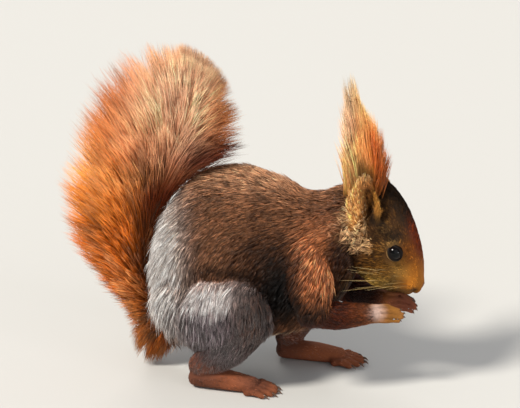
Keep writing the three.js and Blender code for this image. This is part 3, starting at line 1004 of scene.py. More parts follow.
# ---------------------------------------------------------------------- mesh work
def new_object(name: str, points: np.ndarray, faces: np.ndarray) -> bpy.types.Object:
    """A smooth-shaded mesh object from vertices in metres and faces that all have the same number of
    corners.
    """
    mesh = bpy.data.meshes.new(name)
    mesh.vertices.add(len(points))
    mesh.vertices.foreach_set("co", np.ascontiguousarray(points, np.float32).ravel())
    mesh.loops.add(faces.size)
    mesh.loops.foreach_set("vertex_index", np.ascontiguousarray(faces, np.int32).ravel())
    mesh.polygons.add(len(faces))
    mesh.polygons.foreach_set("loop_start", np.arange(0, faces.size, faces.shape[1], dtype=np.int32))
    mesh.polygons.foreach_set("use_smooth", np.ones(len(faces), bool))
    mesh.update(calc_edges=True)
    made = bpy.data.objects.new(name, mesh)
    bpy.context.scene.collection.objects.link(made)
    return made


def through(source: bpy.types.Object, kind: str, **settings: object) -> bpy.types.Mesh:
    """The mesh of an object after one modifier. The object itself is removed."""
    modifier = source.modifiers.new(kind, kind)
    for key, value in settings.items():
        setattr(modifier, key, value)
    seen = source.evaluated_get(bpy.context.evaluated_depsgraph_get())
    mesh = bpy.data.meshes.new_from_object(seen)
    bpy.data.objects.remove(source)
    return mesh


def vertices_of(mesh: bpy.types.Mesh) -> np.ndarray:
    """A mesh's vertices as rows."""
    flat = np.empty(len(mesh.vertices) * 3, np.float32)
    mesh.vertices.foreach_get("co", flat)
    return flat.reshape(-1, 3).astype(float)


def corners_of(mesh: bpy.types.Mesh, corners: int) -> np.ndarray:
    """A mesh's faces as rows of vertex numbers, where each has the same number of corners."""
    flat = np.empty(len(mesh.loops), np.int32)
    mesh.loops.foreach_get("vertex_index", flat)
    return flat.reshape(-1, corners).astype(np.int64)


def edges_from(faces: np.ndarray) -> np.ndarray:
    """Both ways along every edge of a mesh's faces, each once."""
    after = np.roll(faces, -1, axis=1)
    pairs = np.concatenate([np.stack([faces[:, i], after[:, i]], axis=1) for i in range(faces.shape[1])])
    both = np.concatenate([pairs, pairs[:, ::-1]])
    return np.unique(both[:, 0] * (faces.max() + 1) + both[:, 1])


def relaxed(values: np.ndarray, keys: np.ndarray, rounds: int, pull: np.ndarray | float = 0.6) -> np.ndarray:
    """Values on a mesh's vertices, drawn towards the mean of their neighbours over some rounds.

    Args:
        values: one row for each vertex.
        keys: the mesh's edges, from edges_from.
        rounds: how many times the values are drawn.
        pull: the share of the way to the mean that each vertex goes in a round.
    Returns:
        The smoothed rows.
    """
    count = len(values)
    start, end = keys // count, keys % count
    number = np.bincount(start, minlength=count).clip(1)
    share = np.broadcast_to(pull, count)[:, None]
    for _ in range(rounds):
        sums = [np.bincount(start, values[end, i], count) for i in range(values.shape[1])]
        values = values + share * (np.stack(sums, axis=1) / number[:, None] - values)
    return values


def normals_of(points: np.ndarray, triangles: np.ndarray) -> tuple[np.ndarray, np.ndarray]:
    """Unit normals at the vertices of a mesh, and the areas of its triangles."""
    a, b, c = (points[triangles[:, i]] for i in range(3))
    cross = np.cross(b - a, c - a)
    made = np.zeros_like(points)
    for i in range(3):
        for axis in range(3):
            made[:, axis] += np.bincount(triangles[:, i], cross[:, axis], len(points))
    return unit(made), np.linalg.norm(cross, axis=1) / 2


def one_piece(points: np.ndarray, triangles: np.ndarray) -> tuple[np.ndarray, np.ndarray]:
    """A mesh without the specks that lie loose of its largest piece.

    Every vertex starts with its own number and takes the least among its neighbours' until none changes, so
    a piece ends with one number.
    """
    label = np.arange(len(points))
    start, end = np.concatenate([triangles, np.roll(triangles, -1, axis=1)]).T[:2]
    while True:
        low = label.copy()
        np.minimum.at(low, start, label[end])
        np.minimum.at(low, end, label[start])
        low = low[low]
        if (low == label).all():
            break
        label = low
    kept = label == np.bincount(label).argmax()
    number = np.cumsum(kept) - 1
    return points[kept], number[triangles[kept[triangles[:, 0]]]]


def hand_over(made: bpy.types.Object, material: bpy.types.Material) -> None:
    """Gives a finished piece its material, and lets it ride on the body."""
    made.data.materials.append(material)
    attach(made, "root")


def paint(made: bpy.types.Object, colours: np.ndarray) -> None:
    """Writes linear colours to the attribute tint, one for each vertex."""
    attribute = made.data.color_attributes.new("tint", "FLOAT_COLOR", "POINT")
    rows = np.concatenate([colours, np.ones((len(colours), 1))], axis=1)
    attribute.data.foreach_set("color", rows.astype(np.float32).ravel())


# ---------------------------------------------------------------------- finishes
def link(tree: bpy.types.NodeTree, start: bpy.types.Node, out: str, end: bpy.types.Node, into: str) -> None:
    """Joins a named output to a named input."""
    tree.links.new(start.outputs[out], end.inputs[into])


def coat_tint_group() -> bpy.types.NodeTree:
    """A node group that varies a colour over the body.

    Two noises in object space, one broad and one fine, add up to a factor about 1, which multiplies the
    colour.
    """
    tree = bpy.data.node_groups.new("coat_tint", "ShaderNodeTree")
    for name, kind, value in (("Colour", "NodeSocketColor", (1, 1, 1, 1)), ("Broad", "NodeSocketFloat", 60.0),
                              ("Fine", "NodeSocketFloat", 900.0), ("Amount", "NodeSocketFloat", 0.3)):
        socket = tree.interface.new_socket(name, in_out="INPUT", socket_type=kind)
        socket.default_value = value
    tree.interface.new_socket("Colour", in_out="OUTPUT", socket_type="NodeSocketColor")
    given, made = tree.nodes.new("NodeGroupInput"), tree.nodes.new("NodeGroupOutput")
    place = tree.nodes.new("ShaderNodeTexCoord")
    noises = []
    for scale in ("Broad", "Fine"):
        noise = tree.nodes.new("ShaderNodeTexNoise")
        noise.inputs["Detail"].default_value = 2.0
        link(tree, place, "Object", noise, "Vector")
        link(tree, given, scale, noise, "Scale")
        noises.append(noise)
    both = tree.nodes.new("ShaderNodeMath")
    both.operation = "ADD"
    tree.links.new(noises[0].outputs["Fac"], both.inputs[0])
    tree.links.new(noises[1].outputs["Fac"], both.inputs[1])
    centred = tree.nodes.new("ShaderNodeMath")
    centred.operation = "SUBTRACT"
    centred.inputs[1].default_value = 1.0
    tree.links.new(both.outputs[0], centred.inputs[0])
    factor = tree.nodes.new("ShaderNodeMath")
    factor.operation = "MULTIPLY_ADD"
    factor.inputs[2].default_value = 1.0
    tree.links.new(centred.outputs[0], factor.inputs[0])
    tree.links.new(given.outputs["Amount"], factor.inputs[1])
    scaled = tree.nodes.new("ShaderNodeVectorMath")
    scaled.operation = "SCALE"
    tree.links.new(given.outputs["Colour"], scaled.inputs[0])
    tree.links.new(factor.outputs[0], scaled.inputs["Scale"])
    tree.links.new(scaled.outputs[0], made.inputs["Colour"])
    return tree


def grain_group() -> bpy.types.NodeTree:
    """A node group for short hair or fine skin: streaks along the lie, as a height for a bump.

    A noise is read at the lie attribute, whose coordinates run slowly along a limb and fast across it, so
    its spots come out as streaks.
    """
    tree = bpy.data.node_groups.new("grain", "ShaderNodeTree")
    socket = tree.interface.new_socket("Scale", in_out="INPUT", socket_type="NodeSocketFloat")
    socket.default_value = 2.0
    tree.interface.new_socket("Height", in_out="OUTPUT", socket_type="NodeSocketFloat")
    given, made = tree.nodes.new("NodeGroupInput"), tree.nodes.new("NodeGroupOutput")
    lie = tree.nodes.new("ShaderNodeAttribute")
    lie.attribute_name = "lie"
    noise = tree.nodes.new("ShaderNodeTexNoise")
    noise.inputs["Detail"].default_value = 3.0
    noise.inputs["Roughness"].default_value = 0.6
    link(tree, lie, "Vector", noise, "Vector")
    link(tree, given, "Scale", noise, "Scale")
    link(tree, noise, "Fac", made, "Height")
    return tree


@dataclass(frozen=True)
class Finish:
    """A surface finish whose colour comes from the piece's own tint attribute."""

    name: str
    roughness: float
    specular: float = 0.5
    sheen: float = 0.0
    sheen_tint: str = "ffffff"
    coat: float = 0.0
    vary: float = 0.3
    grain: float = 0.0  # depth of the streaky bump, in metres
    grain_scale: float = 2.0

    def material(self, groups: dict[str, bpy.types.NodeTree]) -> bpy.types.Material:
        """The finish as a material: tint, varied by noise, and streaks as bump where the finish has grain.
        """
        made = bpy.data.materials.new(self.name)
        made.use_nodes = True
        tree = made.node_tree
        shader = tree.nodes["Principled BSDF"]
        shader.inputs["Roughness"].default_value = self.roughness
        shader.inputs["Specular IOR Level"].default_value = self.specular
        shader.inputs["Sheen Weight"].default_value = self.sheen
        shader.inputs["Sheen Roughness"].default_value = 0.45
        shader.inputs["Sheen Tint"].default_value = (*tint(self.sheen_tint), 1.0)
        shader.inputs["Coat Weight"].default_value = self.coat
        shader.inputs["Coat Roughness"].default_value = 0.03
        colour = tree.nodes.new("ShaderNodeAttribute")
        colour.attribute_name = "tint"
        varied = tree.nodes.new("ShaderNodeGroup")
        varied.node_tree = groups["coat_tint"]
        varied.inputs["Amount"].default_value = self.vary
        link(tree, colour, "Color", varied, "Colour")
        link(tree, varied, "Colour", shader, "Base Color")
        if self.grain:
            streaks = tree.nodes.new("ShaderNodeGroup")
            streaks.node_tree = groups["grain"]
            streaks.inputs["Scale"].default_value = self.grain_scale
            bump = tree.nodes.new("ShaderNodeBump")
            bump.inputs["Distance"].default_value = self.grain
            link(tree, streaks, "Height", bump, "Height")
            link(tree, bump, "Normal", shader, "Normal")
        return made


FUR = Finish("fur", roughness=0.42, specular=0.38, vary=0.35)
SHORT_FUR = Finish("short_fur", roughness=0.6, specular=0.16, vary=0.4)
GREY_FUR = Finish("grey_fur", roughness=0.4, specular=0.5, sheen=0.3, sheen_tint="fff0ee", vary=0.35)
BRUSH_HAIR = Finish("brush_hair", roughness=0.42, specular=0.3, vary=0.35)
HIDE = Finish("hide", roughness=0.8, specular=0.25, vary=0.4, grain=0.0006)
BARE = Finish("bare", roughness=0.45, specular=0.5, vary=0.3, grain=0.00015, grain_scale=4.0)
HORN = Finish("horn", roughness=0.3, specular=0.5, coat=0.2, vary=0.2)
WET = Finish("wet", roughness=0.05, specular=0.2, vary=0.0)


# ---------------------------------------------------------------------- skin
@dataclass(frozen=True)
class Dent:
    """A sculptor's push on the skin, the same on both sides: out if amount is above nothing, in if below.
    """

    at: tuple[float, float, float]
    reach: float
    amount: float


DENTS = (
    Dent((80.8, 14.0, 83.3), 5.6, -0.9),  # eye socket
    Dent((80.0, 14.6, 88.6), 2.6, 0.35),  # brow
    Dent((88.0, 9.0, 76.0), 4.5, -0.6),  # side of the nose's bridge
    Dent((84.0, 9.0, 63.0), 3.6, -0.5),  # behind the whisker pad
    Dent((90.4, 0.0, 58.6), 1.5, -0.9),  # mouth
    Dent((88.0, 3.0, 58.8), 1.3, -0.8),
    Dent((85.2, 5.2, 59.7), 1.3, -0.7),
    Dent((82.4, 6.8, 61.0), 1.4, -0.5),
    Dent((89.8, 5.0, 60.3), 1.4, -1.5),  # nostril
    Dent((5.0, 32.0, 67.5), 4.5, -1.6),  # crease at the top of the haunch
    Dent((-4.0, 33.0, 69.0), 4.5, -1.9),
    Dent((-13.0, 33.5, 69.2), 4.5, -1.9),
    Dent((-23.0, 33.0, 67.0), 4.5, -1.7),
    Dent((-32.0, 31.0, 59.5), 4.0, -1.4),  # behind it
    Dent((13.5, 32.0, 58.0), 5.0, -1.4),  # and before it
    Dent((-8.0, 33.0, 76.0), 7.0, 1.0),  # the flank's overhang
    Dent((-18.0, 36.0, 60.0), 8.0, 0.8),  # the haunch's crown
    Dent((-2.0, 35.0, 60.0), 7.0, 0.8),
)


@dataclass
class Skin:
    """The one skin over all the flesh, with what the coat needs to know at each of its vertices."""

    voxel: float = 0.55
    limit: int = 180_000
    points: np.ndarray = field(init=False, repr=False)
    triangles: np.ndarray = field(init=False, repr=False)
    normals: np.ndarray = field(init=False, repr=False)
    areas: np.ndarray = field(init=False, repr=False)
    part: np.ndarray = field(init=False, repr=False)
    region: np.ndarray = field(init=False, repr=False)
    turn: np.ndarray = field(init=False, repr=False)
    along: np.ndarray = field(init=False, repr=False)
    coat: np.ndarray = field(init=False, repr=False)
    tips: np.ndarray = field(init=False, repr=False)
    way: np.ndarray = field(init=False, repr=False)
    long: np.ndarray = field(init=False, repr=False)
    lean: np.ndarray = field(init=False, repr=False)

    def build(self, parts: list[Part]) -> bpy.types.Object:
        """Draws one surface over all the parts, smooths and sculpts it, and thins it to the limit.

        Args:
            parts: the body's forms.
        Returns:
            The skin's object.
        """
        nets = [part.form.net(*part.detail) for part in parts]
        points, triangles = joined([net.mesh() for net in nets])
        blank = new_object("blank", points * MM, triangles)
        shell = through(blank, "REMESH", mode="VOXEL", voxel_size=self.voxel * MM)
        points, quads = vertices_of(shell) / MM, corners_of(shell, 4)
        samples, owner, turn, along = self.samples(parts, nets)
        close = nearest(samples, points)
        smooth = np.array([part.smooth for part in parts])[owner[close]]
        keys = edges_from(quads)
        smooth = relaxed(smooth[:, None], keys, 12)[:, 0]
        points = relaxed(points, keys, 16, 0.7 * smooth)
        points = relaxed(points, keys, 2, 0.5)
        points = self.sculpted(points, np.concatenate([quads[:, :3], quads[:, [0, 2, 3]]]))
        points = relaxed(points, keys, 2, 0.5)
        ratio = self.limit / (2 * len(quads))
        rough = new_object("rough", points * MM, quads)
        thin = through(rough, "DECIMATE", ratio=min(1.0, ratio), use_collapse_triangulate=True)
        self.points, self.triangles = one_piece(vertices_of(thin) / MM, corners_of(thin, 3))
        close = nearest(samples, self.points)
        self.part, self.turn, self.along = owner[close], turn[close], np.clip(along[close], 0, 1)
        self.read(parts, samples[close])
        made = new_object("skin", placed(self.points), self.triangles)
        log.info("skin: %d triangles over %d forms", len(self.triangles), len(parts))
        return made

    @staticmethod
    def samples(parts: list[Part], nets: list[Net]) -> tuple[np.ndarray, ...]:
        """Points over every part, with the number of each one's part, its turn and its place along."""
        rows = [net.samples() for net in nets]
        owner = np.repeat(np.arange(len(parts)), [len(row[0]) for row in rows])
        points, turn, along = (np.concatenate([row[i] for row in rows]) for i in range(3))
        return points, owner, turn, along

    @staticmethod
    def sculpted(points: np.ndarray, triangles: np.ndarray) -> np.ndarray:
        """Points pushed along the normal by each dent, by its amount times e to the minus square of d over
        reach.
        """
        normals, _ = normals_of(points, triangles)
        made = points.copy()
        spots = folded(points)
        for dent in DENTS:
            apart = np.linalg.norm(spots - dent.at, axis=1) / dent.reach
            made += normals * (dent.amount * np.exp(-(apart**2)))[:, None]
        for side in Side:
            made = Pinna(side).carved(made, normals)
        made[:, 2] = np.maximum(made[:, 2], 0.15)
        return made

    def read(self, parts: list[Part], spots: np.ndarray) -> None:
        """Works out the normals, regions, markings and lie at every vertex, and evens them over the skin.
        """
        self.normals, self.areas = normals_of(self.points, self.triangles)
        self.region = np.array([part.region.value for part in parts])[self.part]
        keys = edges_from(self.triangles)
        self.coat = relaxed(marked(self.points, self.region, self.along, False), keys, 8)
        self.tips = relaxed(marked(self.points, self.region, self.along, True), keys, 8)
        way, long, lean = combed(self.points, self.region)
        self.way = relaxed(way, keys, 10)
        self.long = relaxed(long[:, None], keys, 10)[:, 0]
        self.lean = relaxed(lean[:, None], keys, 10)[:, 0]

    def dress(self, made: bpy.types.Object, material: bpy.types.Material) -> None:
        """Paints the skin darker than its coat, the more so the longer the coat, and gives it its lie for
        streaks.
        """
        paint(made, self.coat * np.clip(0.95 - 0.06 * self.long, 0.5, 0.85)[:, None])
        flow = unit(self.way - self.normals * np.sum(self.way * self.normals, axis=1)[:, None])
        squeezed = self.points - flow * np.sum(self.points * flow, axis=1)[:, None] * 0.8
        lie = made.data.attributes.new("lie", "FLOAT_VECTOR", "POINT")
        lie.data.foreach_set("vector", squeezed.astype(np.float32).ravel())
        made.data.materials.append(material)

    def scattered(self, chosen: np.ndarray, count: int, rng: np.random.Generator) -> "Roots":
        """Roots spread over the triangles whose first vertex is chosen, closer where the hair is shorter.

        A triangle's chance is its area over its hair's length and width. A root's place in it is the mean
        of the corners, weighted by a square root rule that spreads points evenly.

        Args:
            chosen: for each vertex, whether roots may stand there.
            count: how many roots.
            rng: the source of chance.
        Returns:
            The roots, with everything that the skin knows there.
        """
        first = self.triangles[:, 0]
        chance = self.areas * chosen[first] / (self.long[first] * strand_width(self.long[first])) ** 0.85
        picked = rng.choice(len(self.triangles), count, p=chance / chance.sum())
        root, second = np.sqrt(rng.random(count)), rng.random(count)
        weight = np.stack([1 - root, root * (1 - second), root * second], axis=1)
        corner = self.triangles[picked]

        def mixed(values: np.ndarray) -> np.ndarray:
            """Values at the roots, from their triangles' corners."""
            flat = values if values.ndim > 1 else values[:, None]
            made = np.einsum("nk,nkd->nd", weight, flat[corner])
            return made if values.ndim > 1 else made[:, 0]

        own = corner[:, 0]
        return Roots(
            mixed(self.points), unit(mixed(self.normals)), mixed(self.way), mixed(self.long),
            mixed(self.lean), mixed(self.coat), mixed(self.tips),
            self.part[own], self.turn[own], self.along[own],
        )


# ---------------------------------------------------------------------- strands
def strand_width(long: np.ndarray) -> np.ndarray:
    """How wide a tuft of a length is: a fixed part and a share of its length."""
    return 0.09 + 0.046 * long


@dataclass
class Roots:
    """Where tufts stand, and what the skin knows there. One row for each tuft."""

    points: np.ndarray
    normals: np.ndarray
    way: np.ndarray
    long: np.ndarray
    lean: np.ndarray
    coat: np.ndarray
    tips: np.ndarray
    part: np.ndarray
    turn: np.ndarray
    along: np.ndarray

    def kept(self, mask: np.ndarray) -> "Roots":
        """Only the roots in the mask."""
        return Roots(*(getattr(self, name)[mask] for name in self.__dataclass_fields__))


@dataclass(frozen=True)
class Strands:
    """Tufts as closed three-sided spindles along spines: a point, rings of three, and a point."""

    spine: np.ndarray  # (n, k, 3): the root, the middle of each ring, the tip
    width: np.ndarray  # (n, k - 2): the width of each ring
    up: np.ndarray  # (n, 3): the way the ridge faces
    colours: np.ndarray  # (n, k, 3)
    chart: np.ndarray  # (n, 2): the root's place on the baking map

    def build(self, name: str) -> bpy.types.Object:
        """The joined mesh.

        A ring has a left and a right corner, half the width off the spine, and a ridge above it. Round each
        cell the triangles run from ring to ring, with three at the root and three at the tip.
        """
        count, stops = self.spine.shape[:2]
        along = unit(self.spine[:, 2:] - self.spine[:, :-2])
        side = unit(np.cross(along, self.up[:, None]))
        ridge = np.cross(side, along)
        half = self.width[:, :, None] / 2
        middle = self.spine[:, 1:-1]
        corners = [middle - side * half - ridge * half * 0.25, middle + side * half - ridge * half * 0.25]
        corners.append(middle + ridge * half * 0.9)
        rings = np.stack(corners, axis=2).reshape(count, -1, 3)
        points = np.concatenate([self.spine[:, :1], rings, self.spine[:, -1:]], axis=1)
        faces = self.template(stops)
        _, faces = outward(points[0], faces)
        size = points.shape[1]
        triangles = (faces[None] + size * np.arange(count)[:, None, None]).reshape(-1, 3)
        made = new_object(name, placed(points.reshape(-1, 3)), triangles)
        owner = np.concatenate([[0], np.repeat(np.arange(1, stops - 1), 3), [stops - 1]])
        paint(made, self.colours[:, owner].reshape(-1, 3))
        self.lay_chart(made, faces, stops)
        return made

    @staticmethod
    def template(stops: int) -> np.ndarray:
        """Triangles of one spindle with that many stops along its spine."""
        here = np.arange(3)
        after = (here + 1) % 3
        faces = [np.stack([np.zeros(3, int), 1 + here, 1 + after], axis=1)]
        for ring in range(stops - 3):
            low, high = 1 + 3 * ring, 4 + 3 * ring
            faces.append(np.stack([low + here, high + here, high + after], axis=1))
            faces.append(np.stack([low + here, high + after, low + after], axis=1))
        last = 1 + 3 * (stops - 3)
        faces.append(np.stack([np.full(3, last + 3), last + after, last + here], axis=1))
        return np.concatenate(faces)

    def lay_chart(self, made: bpy.types.Object, faces: np.ndarray, stops: int) -> None:
        """Writes the baking map: each tuft is one patch at its root's place, root below and tip above."""
        rise = np.linspace(-0.5, 0.5, stops)
        offsets = [(0.0, rise[0])]
        for height in rise[1:-1]:
            offsets += [(-0.5, height), (0.5, height), (0.06, height + 0.12)]
        offsets = np.array(offsets + [(0.0, rise[-1])])
        patch = self.chart[:, None] + PATCH * offsets[faces.ravel()][None]
        layer = made.data.uv_layers.new(name="OFBake")
        layer.data.foreach_set("uv", patch.astype(np.float32).ravel())


def spread(values: np.ndarray) -> np.ndarray:
    """Numbers moved and scaled to run from 0.02 to 0.98."""
    low, high = values.min(), values.max()
    return 0.02 + 0.96 * (values - low) / max(high - low, 1e-6)


@dataclass(frozen=True)
class Clumping:
    """How tufts gather: into locks so many to a clump, whose tips are drawn together and which vary as one.
    """

    size: int = 12
    draw: float = 0.22
    turn: float = 0.15
    vary: float = 0.2
    fleck: float = 0.34  # how much each tuft differs from the next in lightness
    lift: float = 1.0  # how much more than the coat it stands up
    stray: float = 0.9  # how far each tuft turns by itself, as a share of turn
    stretch: float = 0.55  # how much distances along the lie are shortened, so that locks come out long


@dataclass(frozen=True)
class Zone:
    """Where pale hairs stand: in an oval about a place, the same on both sides, where the coat's tips are
    pale.
    """

    at: tuple[float, float, float]
    reach: tuple[float, float, float]
    least: float = 0.25  # how pale the tips are at least

    def holds(self, skin: Skin) -> np.ndarray:
        """Which of the skin's vertices it takes in: fewer and fewer towards its border."""
        apart = np.linalg.norm((folded(skin.points) - self.at) / np.array(self.reach), axis=1)
        loose = np.random.default_rng(3).random(len(apart))
        return (apart < 0.5 + 0.8 * loose) & (skin.tips.mean(axis=1) > self.least * (0.8 + 0.4 * loose))


@dataclass
class Coat:
    """The fur of the body, in pieces by region."""

    skin: Skin
    fur: bpy.types.Material
    rng: np.random.Generator = field(default_factory=lambda: np.random.default_rng(7))

    def piece(self, name: str, regions: tuple[Region, ...], side: Side | None, count: int,
              clumping: Clumping = Clumping(), guard: bool = False, pale: Zone | None = None,
              fur: bpy.types.Material | None = None) -> bpy.types.Object:
        """One piece of the coat.

        Args:
            name: the piece's name.
            regions: the regions that it covers.
            side: the side that it covers, or none for both.
            count: how many tufts.
            clumping: how they gather.
            guard: whether these are the longer, thinner outer hairs.
            pale: where these stand, if they are pale hairs over the others.
            fur: the finish, if it isn't the coat's own.
        Returns:
            The piece's object.
        """
        skin = self.skin
        chosen = np.isin(skin.region, [region.value for region in regions])
        if side:
            chosen &= skin.points[:, 1] * side.value >= 0
        chosen &= self.bare() == 0
        if pale:
            chosen &= pale.holds(skin)
        roots = skin.scattered(chosen, count, self.rng)
        if pale:
            # Pale hairs are brighter than the coat's tips there: the cream curls by the ear, and on the rump and
            # the haunch's top partly painted sheen.
            roots.coat, roots.tips = roots.tips * 0.9, roots.tips * 1.9
        strands = self.grown(roots, clumping, guard)
        made = strands.build(name)
        hand_over(made, fur or self.fur)
        log.info("%s: %d tufts, %d triangles", name, len(roots.long), len(made.data.polygons))
        return made

    def bare(self) -> np.ndarray:
        """Which vertices carry no tufts: round the eyes, on the nose and fingers, and under the feet."""
        skin = self.skin
        spots = folded(skin.points)
        near_eye = np.linalg.norm(spots - EYE_AT, axis=1) < EYE_RADIUS + LASH_GAP
        nose = np.linalg.norm(spots - NOSE_TIP, axis=1) < 2.6
        sole = (skin.points[:, 2] < 2.5) & (skin.normals[:, 2] < -0.4)
        tips = (skin.region == Region.FOOT.value) & (skin.points[:, 2] < 0.8)
        return near_eye | nose | sole | tips | (skin.region == Region.FINGER.value)

    def grown(self, roots: Roots, clumping: Clumping, guard: bool) -> Strands:
        """Tufts from roots: bent along the lie, jittered, and drawn into clumps.

        A spine leaves the skin at the lean and half way bends down to less. The way is the lie's part along
        the skin.
        """
        rng = self.rng
        count = len(roots.long)
        clump_heads = rng.choice(count, max(2, count // clumping.size), replace=False)
        along = unit(roots.way - roots.normals * np.sum(roots.way * roots.normals, axis=1)[:, None])
        shrunk = roots.points - along * (np.sum(roots.points * along, axis=1) * clumping.stretch)[:, None]
        clump = nearest(shrunk[clump_heads], shrunk)
        clumps = len(clump_heads)
        across = np.cross(roots.normals, along)
        swing = rng.normal(0, clumping.turn, clumps)[clump]
        swing = (swing + rng.normal(0, clumping.stray * clumping.turn, count)) * self.loose(roots)
        along = unit(along * np.cos(swing)[:, None] + across * np.sin(swing)[:, None])
        long = roots.long * (1 + rng.normal(0, 0.1, clumps)[clump]) * rng.uniform(0.72, 1.18, count)
        lean = roots.lean * clumping.lift * rng.uniform(0.7, 1.3, count) + rng.normal(0, 2.5, clumps)[clump]
        if guard:
            long = long * rng.uniform(1.15, 1.6, count)
            lean = lean * rng.uniform(0.9, 1.35, count)
        rise = np.radians(np.clip(lean, 4, 60))
        start = roots.points - roots.normals * 0.35
        shares = np.array([0.0, 0.28, 0.64, 1.0]) if guard else np.array([0.0, 0.42, 1.0])
        lifts = np.linspace(1.35, 0.35, len(shares) - 1)
        stops = [start]
        for step, lift in zip(np.diff(shares), lifts):
            angle = (rise * lift)[:, None]
            way = along * np.cos(angle) + roots.normals * np.sin(angle)
            stops.append(stops[-1] + (long * step)[:, None] * way)
        spine = np.stack(stops, axis=1)
        head_of = clump_heads[clump]
        goal = spine[head_of, -1]
        close = np.exp(-((np.linalg.norm(goal - spine[:, -1], axis=1) / (0.9 * long)) ** 2))
        pull = clumping.draw * close * rng.uniform(0.5, 1.2, count)
        for stop in range(1, spine.shape[1]):
            share = (shares[stop] ** 1.5 * pull)[:, None]
            spine[:, stop] += (spine[head_of, stop] * 0.3 + goal * 0.7 - spine[:, stop]) * share * (stop > 1)
        spine[:, 1:, 2] = np.maximum(spine[:, 1:, 2], 0.3)
        width = strand_width(roots.long) * rng.uniform(0.7, 1.25, count) * (0.55 if guard else 1.0)
        widths = np.stack([width, width * 0.75], axis=1) if guard else width[:, None]
        light = 1 + rng.normal(0, clumping.vary, clumps)[clump]
        light = light * rng.lognormal(-0.5 * clumping.fleck**2, clumping.fleck, count)
        colours = self.shades(roots, light, spine.shape[1], guard)
        chart = np.stack([self.strip(roots), spread(roots.along)], axis=1)
        return Strands(spine, widths, roots.normals, colours, chart)

    @staticmethod
    def loose(roots: Roots) -> np.ndarray:
        """How freely each tuft turns off the lie: more where it stands up."""
        return np.clip(roots.lean / 20, 0.6, 1.8) ** 1.5

    def shades(self, roots: Roots, light: np.ndarray, stops: int, guard: bool) -> np.ndarray:
        """Colours along each tuft: dark at the root, the coat's own in the middle, and the tips' colour at
        the end.
        """
        pale = self.rng.random(len(light)) ** 1.4
        tip = roots.coat * (1 - pale[:, None]) + roots.tips * pale[:, None]
        if guard:
            tip = roots.tips * 1.1
        deep = 0.32 + 0.4 * roots.tips.mean(axis=1, keepdims=True) ** 2
        ends = [roots.coat * deep, roots.coat, tip]
        if stops == 4:
            ends = [roots.coat * deep, roots.coat, (roots.coat + tip) / 2, tip]
        return np.clip(np.stack(ends, axis=1) * np.clip(light, 0.35, 2.2)[:, None, None], 0, 0.95)

    @staticmethod
    def strip(roots: Roots) -> np.ndarray:
        """Where each root lies across the map: every part has a strip of its own, and the turn runs across
        it.
        """
        _, order = np.unique(roots.part, return_inverse=True)
        strips = order.max() + 1
        return spread((order + np.clip(roots.turn, 0.02, 0.98)) / strips)


# ---------------------------------------------------------------------- long hair
@dataclass(frozen=True)
class Locks:
    """Places that hair gathers to: how many in a whole plume, how far the tips are drawn, and how they
    differ.
    """

    number: int
    draw: float
    vary: float
    shorter: float = 0.1


